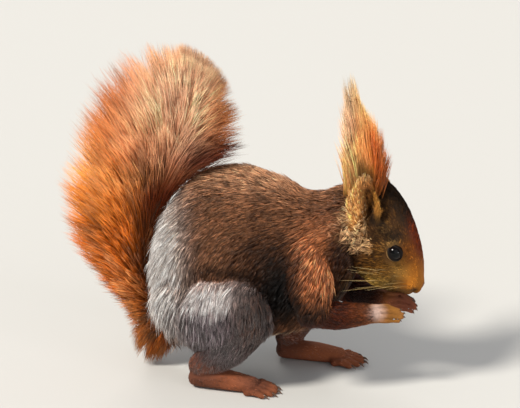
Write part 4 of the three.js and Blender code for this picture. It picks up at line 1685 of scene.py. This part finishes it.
@dataclass(frozen=True)
class Plume:
    """Long hair that fills a shape: each hair runs from a line of roots to its own place in the shape."""

    slot: str
    shape: Ribs
    roots: tuple
    root_radius: tuple[float, float]
    locks: tuple[Locks, ...]
    width: float
    seed: int
    bow: float = 0.14  # how far a hair's middle is bent towards the line's end, as a share of its length
    flat: float = 1.0  # the roots' spread sideways over their spread towards the back
    frizz: float = 0.03
    inner: float = 0.6
    lower: float = 1.0  # above 1, more of the hairs end near the plume's start
    ragged: float = 0.04  # how unevenly the outermost hairs end
    fuller: tuple[float, float, float] = (0.78, 0.1, 0.0)  # where along, how widely and by how much it swells
    aside: float = 0.0  # how far sideways the tips at the plume's start are moved
    leaf: Leaf | None = None

    def hairs(self, rng: np.random.Generator, low: float, high: float, count: int) -> dict[str, np.ndarray]:
        """Spines of hairs that end between two places along the shape.

        A tip is a place in the shape. Its root lies off the line of roots at the same share, on the same
        turn as the tip. Between them runs a quadratic curve, whose middle is bent towards the line's end.
        Tips are drawn towards the middle of their lock, for the great locks and then for the small ones.
        """
        along = low + (high - low) * rng.random(count) ** self.lower
        turn = rng.random(count) * FULL_TURN
        share = 1.02 + rng.normal(0, self.ragged, count) - rng.random(count) ** 1.7 * self.inner
        share *= 1 + self.fuller[2] * np.exp(-(((along - self.fuller[0]) / self.fuller[1]) ** 2))
        end_along, end_turn, light = along.copy(), turn.copy(), rng.lognormal(-0.04, 0.3, count)
        pale = rng.normal(0, 0.15, count)
        common = np.random.default_rng(self.seed)
        for locks in self.locks:
            heads = common.random((locks.number, 2)) * [1 + CAP, FULL_TURN]
            lock = nearest(self.flattened(heads[:, 0], heads[:, 1]), self.flattened(end_along, end_turn))
            pull = locks.draw * rng.uniform(0.5, 1.15, count)
            apart = np.mod(heads[lock, 1] - end_turn + np.pi, FULL_TURN) - np.pi
            end_along = end_along + (heads[lock, 0] - end_along) * pull
            end_turn = end_turn + apart * pull
            share = share * common.uniform(1 - locks.shorter, 1, locks.number)[lock]
            light = light * (1 + common.normal(0, locks.vary, locks.number))[lock]
            pale = pale + common.normal(0, 2 * locks.vary, locks.number)[lock]
        tip = self.shape.spot(end_along, end_turn, share)
        tip += ACROSS * np.interp(end_along, (0, 0.4), (self.aside, 0.0))[:, None]
        line = Spline(self.roots)
        base = line.at(np.clip(along + rng.normal(0, 0.03, count), 0, 1))
        radius = np.interp(along, (0, 1), self.root_radius) * np.sqrt(rng.random(count))
        out = self.shape.axis(along) * np.cos(turn)[:, None]
        out = out + ACROSS * (self.flat * np.sin(turn))[:, None]
        base = base + out * radius[:, None]
        step = 0.01
        ahead = unit(line.at(np.clip(along + step, 0, 1)) - line.at(np.clip(along - step, 0, 1)))
        far = np.linalg.norm(tip - base, axis=1)
        bend = (base + tip) / 2 + ahead * (far * self.bow)[:, None]
        bend += rng.normal(0, self.frizz, (count, 3)) * far[:, None]
        return {"along": along, "turn": turn, "base": base, "bend": bend, "tip": tip, "light": light,
                "pale": np.clip(pale, 0, 0.8)}

    @staticmethod
    def flattened(along: np.ndarray, turn: np.ndarray) -> np.ndarray:
        """Places on the shape as points of a plain tube, so that their distances can be told."""
        return np.stack([along * 8, np.cos(turn) * 1.2, np.sin(turn) * 1.2], axis=1)

    def spines(self, hair: dict[str, np.ndarray]) -> np.ndarray:
        """Points along each hair's quadratic curve."""
        t = np.array([0.0, 0.34, 0.7, 1.0])[None, :, None]
        a, b, c = (hair[key][:, None] for key in ("base", "bend", "tip"))
        return a * (1 - t) ** 2 + b * 2 * t * (1 - t) + c * t**2

    def build(self, name: str, low: float, high: float, count: int, material: bpy.types.Material,
              shades: "HairShades") -> bpy.types.Object:
        """One piece of the plume, between two places along it."""
        rng = np.random.default_rng(self.seed + int(low * 100))
        hair = self.hairs(rng, low, high, count)
        spine = self.spines(hair)
        if self.leaf:
            spine = self.leaf.set(spine)
        spine[:, :, 2] = np.maximum(spine[:, :, 2], 0.3)
        up = unit(hair["bend"] - self.shape.spot(hair["along"], hair["turn"], np.zeros(count)) + 1e-3)
        width = self.width * rng.uniform(0.65, 1.35, count)
        widths = np.stack([width, width * 0.8], axis=1)
        colours = shades.along(hair, spine, rng)
        chart = np.stack([spread(hair["turn"]), spread(hair["along"])], axis=1)
        made = Strands(spine, widths, up, colours, chart).build(name)
        hand_over(made, material)
        log.info("%s: %d hairs, %d triangles", name, count, len(made.data.polygons))
        return made


@dataclass(frozen=True)
class HairShades:
    """Colours of long hair from root to tip, with patches laid over its tips' places."""

    root: str
    middle: str
    tip: str
    blots: tuple = ()
    dark_tips: float = 0.06
    pale: str = "de9c62"  # what the paler locks are mixed with

    def along(self, hair: dict[str, np.ndarray], spine: np.ndarray, rng: np.random.Generator) -> np.ndarray:
        """Colours at every stop of every hair: the three colours in turn, patched, and lighter or darker by
        lock.
        """
        count, stops = spine.shape[:2]
        places = np.linspace(0, 1, stops)
        stays = np.array([tint(self.root), tint(self.middle), tint(self.tip)])
        line = np.stack([np.interp(places, (0, 0.45, 1), stays[:, i]) for i in range(3)], axis=1)
        colours = np.tile(line, (count, 1, 1))
        flat, spots = colours.reshape(-1, 3), spine.reshape(-1, 3)
        share = (hair["pale"][:, None] * np.clip(places * 2, 0, 1)).reshape(-1, 1)
        flat = flat * (1 - share) + tint(self.pale) * share
        for blot in self.blots:
            flat = blot.over(spots, flat)
        colours = flat.reshape(count, stops, 3)
        dark = rng.random(count) < self.dark_tips
        colours[dark, -2:] *= 0.4
        return np.clip(colours * np.clip(hair["light"], 0.4, 1.9)[:, None, None], 0, 0.95)


BRUSH = Plume("tail_coat", TAIL, TAIL_ROOTS, (7.0, 2.2),
              (Locks(30, 0.1, 0.17, 0.015), Locks(700, 0.38, 0.22, 0.06)), 0.36, 11, frizz=0.05,
              fuller=(0.78, 0.1, 0.07))
BRUSH_SHADES = HairShades(
    "6a2e0c", "bc5c12", "cc7224",
    blots=(
        Blot((-88, 0, 72), (32, 40, 40), "a8540c", strength=0.5),
        Blot((-92, 0, 104), (22, 40, 20), "e08c3c", strength=0.6),
        Blot((-80, 0, 160), (24, 40, 26), "8c4616", strength=0.78),
        # The pale top and middle of the brush: partly pale tan hair, partly painted sheen.
        Blot((-40, 0, 156), (26, 40, 36), "fcc8a4", strength=0.86),
        Blot((-60, 0, 134), (18, 40, 14), "f0aa7a", strength=0.6),
        Blot((-72, 0, 113), (28, 40, 7), "e2a064", strength=0.55),
        Blot((-12, 0, 148), (12, 40, 22), "ec8e4c", strength=0.8),
        # Painted shade where the brush lies along the rump.
        Blot((-54, 0, 62), (13, 30, 46), "401806", strength=0.9),
        Blot((-48, 0, 102), (14, 40, 14), "742a08", strength=0.85),
        # Darker where the brush lies against the back: partly its colour, partly painted shade.
        Blot((-18, 0, 124), (28, 40, 13), "601702", strength=0.9),
    ),
)
# Where the tuft grows on the back of the scoop: x, how far inwards, z.
EAR_ROOTS = ((60, 6.5, 103), (61, 6.5, 108), (63, 6, 113), (64, 4.5, 118), (65, 2, 121.5), (66, 0, 124))
EAR_SHADES = HairShades(
    "f4ac60", "e49448", "f0ac6c",
    blots=(
        Blot((75, 16, 140), (9, 20, 32), "cc5a10", strength=0.88),
        # The tuft's rear side and its lower rear painted paler: painted light on the side the light comes from.
        Blot((55, 20, 127), (10, 30, 13), "ffba78", strength=0.88),
        Blot((50, 16, 164), (9, 20, 24), "fcd4b4", strength=0.8),
        Blot((56, 16, 184), (12, 20, 16), "a09474", strength=0.8),
    ),
    dark_tips=0.1,
)


def ear_tuft(side: Side) -> Plume:
    """The long hair on an ear, which grows from the back of the scoop and its top."""
    inwards = -side.value
    roots = tuple((x, inwards * depth, z) for x, depth, z in EAR_ROOTS)
    leaf = Leaf(side, EAR_TUFT.start[1], EAR_SET[side][3])
    locks = (Locks(9, 0.15, 0.14, 0.04), Locks(80, 0.45, 0.14, 0.1))
    return Plume("rust_coat", EAR_TUFT, roots, (10, 4.5), locks, 0.34, 23, bow=0.05, flat=0.15, frizz=0.025,
                 lower=1.35, ragged=0.1, aside=inwards * 5.5, leaf=leaf)


# ---------------------------------------------------------------------- eyes, nose, claws, whiskers
def ring_triangles(rings: int, around: int) -> np.ndarray:
    """Triangles of a tube that closes on itself both ways."""
    i, j = np.meshgrid(np.arange(rings), np.arange(around), indexing="ij")
    a, b = i * around + j, i * around + (j + 1) % around
    c, d = (i + 1) % rings * around + (j + 1) % around, (i + 1) % rings * around + j
    return np.concatenate([np.stack(t, axis=-1).reshape(-1, 3) for t in ((a, b, c), (a, c, d))])


@dataclass(frozen=True)
class Eye:
    """One eye: a wet dark ball that bulges at its front, in a rim of dark lids."""

    side: Side
    look: tuple[float, float, float] = (0.28, 0.95, 0.12)
    open_wide: float = 62.0  # half the opening between the corners, in degrees about the ball's middle
    open_high: float = 44.0
    lid: float = 0.6  # radius of the lid's roll

    def axes(self) -> tuple[np.ndarray, np.ndarray, np.ndarray]:
        """The way the eye looks, the way to its front corner, and up."""
        look = unit(np.array(self.look) * [1, self.side.value, 1])
        front = unit(np.cross(np.cross(look, [0.55, 0, -0.83]), look))
        return look, front, np.cross(look, front) * self.side.value

    def ball(self, material: bpy.types.Material) -> bpy.types.Object:
        """The ball: rings about the look, with radius times 1 + 0.05 e to the minus square of the angle
        over 0.6.
        """
        look, front, up = self.axes()
        fall = np.linspace(0, np.pi, 40)[:, None]
        turn = np.arange(48) / 48 * FULL_TURN
        radius = EYE_RADIUS * (1 + 0.05 * np.exp(-((fall / 0.6) ** 2)))
        spots = look * np.cos(fall)[..., None]
        spots = spots + (front * np.cos(turn)[:, None] + up * np.sin(turn)[:, None]) * np.sin(fall)[..., None]
        middle = np.array(EYE_AT) * [1, self.side.value, 1]
        points, triangles = Net(middle + spots * radius[..., None], fall[:, 0]).mesh()
        made = new_object(f"eyeball_{self.side.name.lower()}", placed(points), triangles)
        apart = np.arccos(np.clip(unit(points - middle) @ look, -1, 1))
        iris = np.exp(-(((apart - 0.72) / 0.2) ** 2))[:, None]
        paint(made, tint("020202") + (tint("120804") - tint("020202")) * iris)
        hand_over(made, material)
        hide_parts(f"eye_{self.side.name.lower()}")
        return made

    def lids(self, material: bpy.types.Material) -> bpy.types.Object:
        """The rim of both lids: a roll that closes on itself, laid on the ball along an almond-shaped line.

        The line's angle from the look is open_wide times the cosine of the turn towards the corners and
        open_high times its sine upwards, with the corners drawn out a little.
        """
        look, front, up = self.axes()
        turn = np.arange(72) / 72 * FULL_TURN
        wide = np.radians(self.open_wide) * np.cos(turn) * (1 + 0.22 * np.clip(np.cos(turn), 0, 1) ** 6)
        high = np.radians(self.open_high) * np.sin(turn) * (1 - 0.12 * np.cos(turn) ** 2)
        apart = np.hypot(wide, high)
        aim = unit(front * wide[:, None] + up * high[:, None])
        line = look * np.cos(apart)[:, None] + aim * np.sin(apart)[:, None]
        roll = np.arange(10) / 10 * FULL_TURN
        outer = unit(aim - line * np.sum(aim * line, axis=1)[:, None])
        thick = self.lid * (1 + 0.35 * np.clip(np.sin(turn), 0, 1))
        middle = np.array(EYE_AT) * [1, self.side.value, 1]
        points = middle + (line * EYE_RADIUS)[:, None] + thick[:, None, None] * (
            outer[:, None] * (1.5 * np.cos(roll)[:, None] + 0.4) + line[:, None] * np.sin(roll)[:, None])
        points, triangles = outward(points.reshape(-1, 3), ring_triangles(72, 10))
        made = new_object(f"lids_{self.side.name.lower()}", placed(points), triangles)
        # The upper lid is painted paler along its roll: a painted highlight on the wet rim.
        pale = (np.clip(np.sin(turn), 0, 1) ** 2)[:, None] * np.clip(1.6 * np.cos(roll) - 0.2, 0, 1)
        pale = pale.reshape(-1, 1)
        paint(made, tint("140c08") * (1 - pale) + tint("c09660") * pale)
        hand_over(made, material)
        return made


@dataclass(frozen=True)
class Nose:
    """The bare pad at the muzzle's end, with two comma-shaped nostrils."""

    at: tuple[float, float, float] = (93.1, 0.0, 61.8)
    radii: tuple[float, float, float] = (1.3, 2.3, 1.8)

    def build(self, material: bpy.types.Material) -> bpy.types.Object:
        """The pad: an ellipsoid with a dent for each nostril and a shallow groove down its middle."""
        fall = np.linspace(0, np.pi, 40)[:, None]
        turn = np.arange(56) / 56 * FULL_TURN
        x, y, z = np.cos(fall) + 0 * turn, np.sin(fall) * np.cos(turn), np.sin(fall) * np.sin(turn)
        ball = np.stack([x, y, z], axis=-1)
        fold = np.abs(ball[..., 1])
        pit = np.exp(-(((fold - 0.52) / 0.2) ** 2) - ((ball[..., 2] + 0.3 * fold - 0.05) / 0.26) ** 2)
        groove = np.exp(-((fold / 0.09) ** 2)) * (ball[..., 2] < 0.35)
        front = ball[..., 0] > 0
        size = 1 - (0.42 * pit + 0.1 * groove) * front
        tilt = np.radians(28)
        local = ball * size[..., None] * np.array(self.radii)
        turned = np.stack([
            local[..., 0] * np.cos(tilt) + local[..., 2] * np.sin(tilt), local[..., 1],
            -local[..., 0] * np.sin(tilt) + local[..., 2] * np.cos(tilt)], axis=-1)
        points, triangles = Net(np.array(self.at) + turned, fall[:, 0]).mesh()
        made = new_object("nose", placed(points), triangles)
        dark = np.concatenate([pit[0, :1], pit[1:-1].ravel(), pit[-1, :1]])[:, None]
        paint(made, tint("7a4c2c") * (1 - dark) + tint("120a07") * dark)
        hand_over(made, material)
        return made


def claws(name: str, digits: list[Digit], thick: float, droop: float,
          material: bpy.types.Material) -> bpy.types.Object:
    """The claws of one hand or foot, joined: dark at their root and paler at their point."""
    nets = [digit.claw(thick, droop).net(6, 12, 3) for digit in digits]
    points, triangles = joined([net.mesh() for net in nets])
    points[:, 2] = np.maximum(points[:, 2], 0.12)
    made = new_object(name, placed(points), triangles)
    along = [(net.along[:1], np.repeat(net.along[1:-1], 12), net.along[-1:]) for net in nets]
    share = np.clip(np.concatenate([values for rows in along for values in rows]), 0, 1)[:, None]
    paint(made, tint("2a1a12") * (1 - share) + tint("6b4c36") * share)
    hand_over(made, material)
    return made


@dataclass(frozen=True)
class Whiskers:
    """Stiff hairs on each side of the muzzle, swept back along the cheek, and a few over the eye."""

    rows: int = 4
    columns: int = 5
    seed: int = 5

    def build(self, material: bpy.types.Material) -> bpy.types.Object:
        """All the whiskers: each a quadratic curve from a grid of roots on the pad, out, back and a little
        down.
        """
        rng = np.random.default_rng(self.seed)
        grid = np.meshgrid(np.arange(self.rows), np.arange(self.columns), indexing="ij")
        row, column = (numbers.ravel() for numbers in grid)
        count = len(row)
        spines = []
        for side in Side:
            root = [89.5 - 2.0 * column, 6.2 + 1.1 * column, 63.0 + 2.0 * row + 0.25 * column]
            long = 16 + 2.6 * column + rng.normal(0, 2, count)
            way = [-0.85 - 0.04 * column, 0.66 - 0.05 * column, 0.12 + 0.12 * (row - 1.2)]
            way = unit(np.stack(way, axis=1))
            way = unit(way + rng.normal(0, 0.05, way.shape))
            fall = np.stack([-0.12 * long, -0.02 * long, -0.03 * long], axis=1)
            t = np.array([0.0, 0.12, 0.35, 0.62, 0.85, 1.0])[None, :, None]
            spine = np.stack(root, axis=1)[:, None] + way[:, None] * long[:, None, None] * t + fall[:, None] * t**2
            spines.append(spine * [1, side.value, 1])
        spine = np.concatenate(spines)
        size = len(spine)
        widths = np.tile([0.2, 0.19, 0.16, 0.1], (size, 1))
        shade = np.stack([tint(code) for code in ("2a1a10", "4a3220", "8a6a3c", "c9a565", "d9bd85", "e0cba0")])
        chart = np.stack([spread(np.arange(size) % 8.0), spread(np.arange(size) // 8.0)], axis=1)
        up = np.tile([0.1, 0.2, 1.0], (size, 1))
        made = Strands(spine, widths, up, np.tile(shade, (size, 1, 1)), chart).build("whiskers")
        hand_over(made, material)
        return made


# ---------------------------------------------------------------------- studio
@dataclass(frozen=True)
class Lamp:
    """A soft far light: the way from the squirrel to it, how many degrees wide it looks, its strength and
    colour.
    """

    name: str
    way: tuple[float, float, float]
    wide: float
    strength: float
    colour: tuple[float, float, float] = (1.0, 1.0, 1.0)

    def build(self) -> None:
        """Adds the light."""
        data = bpy.data.lights.new(self.name, "SUN")
        data.angle = np.radians(self.wide)
        data.energy = self.strength
        data.color = self.colour
        made = bpy.data.objects.new(self.name, data)
        made.matrix_world = facing(np.array(self.way), np.zeros(3))
        bpy.context.scene.collection.objects.link(made)


def facing(at: np.ndarray, aim: np.ndarray) -> Matrix:
    """The matrix of a lamp or camera at a place that looks at an aim, upright."""
    back = unit(at - aim)
    right = unit(np.cross([0, 0, 1], back))
    up = np.cross(back, right)
    rows = np.eye(4)
    rows[:3, 0], rows[:3, 1], rows[:3, 2], rows[:3, 3] = right, up, back, at
    return Matrix(rows.tolist())


@dataclass(frozen=True)
class Studio:
    """A plain pale floor, soft lights and the camera."""

    azimuth: float = 15.0
    elevation: float = 19.0
    distance: float = 1.564
    seen: float = 0.2831  # width that the camera sees at the squirrel, in metres
    aim: tuple[float, float, float] = (0.0118, 0.0, 0.0994)
    sensor: float = 36.0
    floor: float = 80.0  # the floor's length and width, in metres
    lamps: tuple[Lamp, ...] = (
        Lamp("key", (-0.42, -0.54, 0.76), 14, 3.9, (1.0, 0.94, 0.84)),
        Lamp("front", (0.6, -0.8, 0.5), 60, 0.5, (0.98, 0.98, 1.0)),
        Lamp("rim", (-0.45, 0.75, 0.6), 25, 0.8, (1.0, 0.97, 0.92)),
        Lamp("glint", (0.95, -0.35, 0.12), 10, 0.5),
    )

    def build(self) -> None:
        """Adds everything."""
        corners = np.array([(-1, -1, 0), (1, -1, 0), (1, 1, 0), (-1, 1, 0)], float)
        floor = new_object("floor", corners * self.floor / 2, np.arange(4)[None])
        pale = bpy.data.materials.new("pale_floor")
        pale.use_nodes = True
        shader = pale.node_tree.nodes["Principled BSDF"]
        shader.inputs["Base Color"].default_value = (0.56, 0.56, 0.55, 1)
        shader.inputs["Roughness"].default_value = 0.85
        floor.data.materials.append(pale)
        for lamp in self.lamps:
            lamp.build()
        world = bpy.data.worlds.new("soft")
        world.use_nodes = True
        background = world.node_tree.nodes["Background"]
        background.inputs["Color"].default_value = (0.93, 0.94, 0.96, 1)
        background.inputs["Strength"].default_value = 0.42
        bpy.context.scene.world = world
        bpy.context.scene.view_settings.view_transform = "Standard"
        self.camera()

    def camera(self) -> None:
        """The camera, from its azimuth and elevation about the aim."""
        turn, rise = np.radians([self.azimuth, self.elevation])
        back = np.array([np.sin(turn) * np.cos(rise), -np.cos(turn) * np.cos(rise), np.sin(rise)])
        data = bpy.data.cameras.new("camera")
        data.sensor_width = self.sensor
        data.lens = self.sensor * self.distance / self.seen
        made = bpy.data.objects.new("camera", data)
        made.matrix_world = facing(np.array(self.aim) + back * self.distance, np.array(self.aim))
        bpy.context.scene.collection.objects.link(made)
        bpy.context.scene.camera = made


FLESH = ("trunk", "neck", "head", "tail_base", "tail_middle", "tail_tip")
PAIRED_FLESH = ("ear", "ear_tuft", "upper_arm", "forearm", "hand", "thigh", "shank", "foot")


def main() -> None:
    """Builds the squirrel piece by piece, then the studio."""
    logging.basicConfig(level=logging.INFO, format="%(name)s: %(message)s")
    groups = {"coat_tint": coat_tint_group(), "grain": grain_group()}
    kinds = (FUR, SHORT_FUR, GREY_FUR, BRUSH_HAIR, HIDE, BARE, HORN, WET)
    finish = {kind.name: kind.material(groups) for kind in kinds}
    parts = body_parts()
    skin = Skin()
    hide = skin.build(parts)
    skin.dress(hide, finish["hide"])
    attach(hide, "root")
    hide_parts(*FLESH, *(f"{name}_{side.name.lower()}" for side in Side for name in PAIRED_FLESH))

    coat = Coat(skin, finish["fur"])
    plain = Clumping(size=8, draw=0.25, turn=0.11, vary=0.28, fleck=0.5)
    rusty = Clumping(size=12, draw=0.35, turn=0.13, vary=0.4, fleck=0.6)
    face = Clumping(size=14, draw=0.4, turn=0.12, vary=0.5, fleck=0.6, stretch=0.75)
    tight = Clumping(size=9, draw=0.3, turn=0.12, vary=0.35, fleck=0.5)
    golden = Clumping(size=9, draw=0.45, turn=0.15, vary=0.5, fleck=0.6)
    curls = Clumping(size=7, draw=0.75, turn=0.8, stray=0.15, vary=0.35, fleck=0.4, stretch=0.0, lift=1.8)
    streaked = Clumping(size=20, draw=0.4, turn=0.07, vary=0.85, fleck=0.9, lift=0.88, stretch=0.9)
    frost = Clumping(size=5, draw=0.35, turn=0.06, vary=0.45, fleck=0.6, lift=0.85, stretch=0.85)
    low_frost = Clumping(size=9, draw=0.5, turn=0.07, vary=0.5, fleck=0.6, lift=0.38, stretch=0.88)
    outer = Clumping(turn=0.1, lift=0.72)
    about_ear = Zone((65, 14, 92), (15.5, 40, 15.5))
    # The pale hairs on the rump and the haunch's top stand partly for the coat's pale tips, partly for painted
    # sheen.
    rump = Zone((-52, 14, 80), (22, 60, 36), 0.55)
    haunch_top = Zone((-14, 32, 64), (24, 40, 11), 0.55)
    for side in Side:
        word = side.name.lower()
        coat.piece(f"coat_trunk_{word}", (Region.TRUNK, Region.DOCK), side, 22_000, plain)
        coat.piece(f"coat_haunch_{word}", (Region.THIGH, Region.SHANK), side, 14_000,
                   streaked, fur=finish["grey_fur"])
        coat.piece(f"coat_foot_{word}", (Region.FOOT,), side, 2_200, tight)
        coat.piece(f"coat_arm_{word}", (Region.UPPER_ARM, Region.FOREARM), side, 8_500, rusty)
        coat.piece(f"coat_hand_{word}", (Region.HAND,), side, 1_300, tight)
        coat.piece(f"coat_head_{word}", (Region.HEAD,), side, 17_500,
                   face, fur=finish["short_fur"])
        coat.piece(f"coat_ear_{word}", (Region.EAR,), side, 4_200,
                   golden, fur=finish["short_fur"])
        coat.piece(f"coat_curls_{word}", (Region.HEAD, Region.TRUNK), side, 1_100, curls,
                   pale=about_ear)
        # Pale hairs over the rump and the haunch's top: partly pale tips, partly painted sheen.
        coat.piece(f"coat_frost_rump_{word}", (Region.TRUNK, Region.THIGH), side, 2_600,
                   frost, guard=True, pale=rump, fur=finish["grey_fur"])
        coat.piece(f"coat_frost_haunch_{word}", (Region.THIGH,), side, 1_500, low_frost,
                   guard=True, pale=haunch_top, fur=finish["grey_fur"])
    coat.piece("coat_guard_hairs", (Region.TRUNK, Region.THIGH), None, 4_000,
               outer, guard=True)

    lengths = (("tail_base", 0.0, 0.36), ("tail_middle", 0.36, 0.7), ("tail_tip", 0.7, 1 + CAP * 0.8))
    for name, low, high in lengths:
        BRUSH.build(f"brush_{name}", low, high, 12_200, finish["brush_hair"], BRUSH_SHADES)
    for side in Side:
        name = f"ear_tuft_hair_{side.name.lower()}"
        ear_tuft(side).build(name, 0.0, 1 + CAP, 2_600, finish["brush_hair"], EAR_SHADES)

    for side in Side:
        word = side.name.lower()
        eye = Eye(side)
        eye.ball(finish["wet"])
        eye.lids(finish["short_fur"])
        claws(f"claws_hand_{word}", Hand(side).digits(), 0.55, 0.4, finish["horn"])
        claws(f"claws_foot_{word}", Foot(side).digits(), 0.85, 0.7, finish["horn"])
    Nose().build(finish["bare"])
    Whiskers().build(finish["fur"])
    Studio().build()


if __name__ == "__main__":
    main()
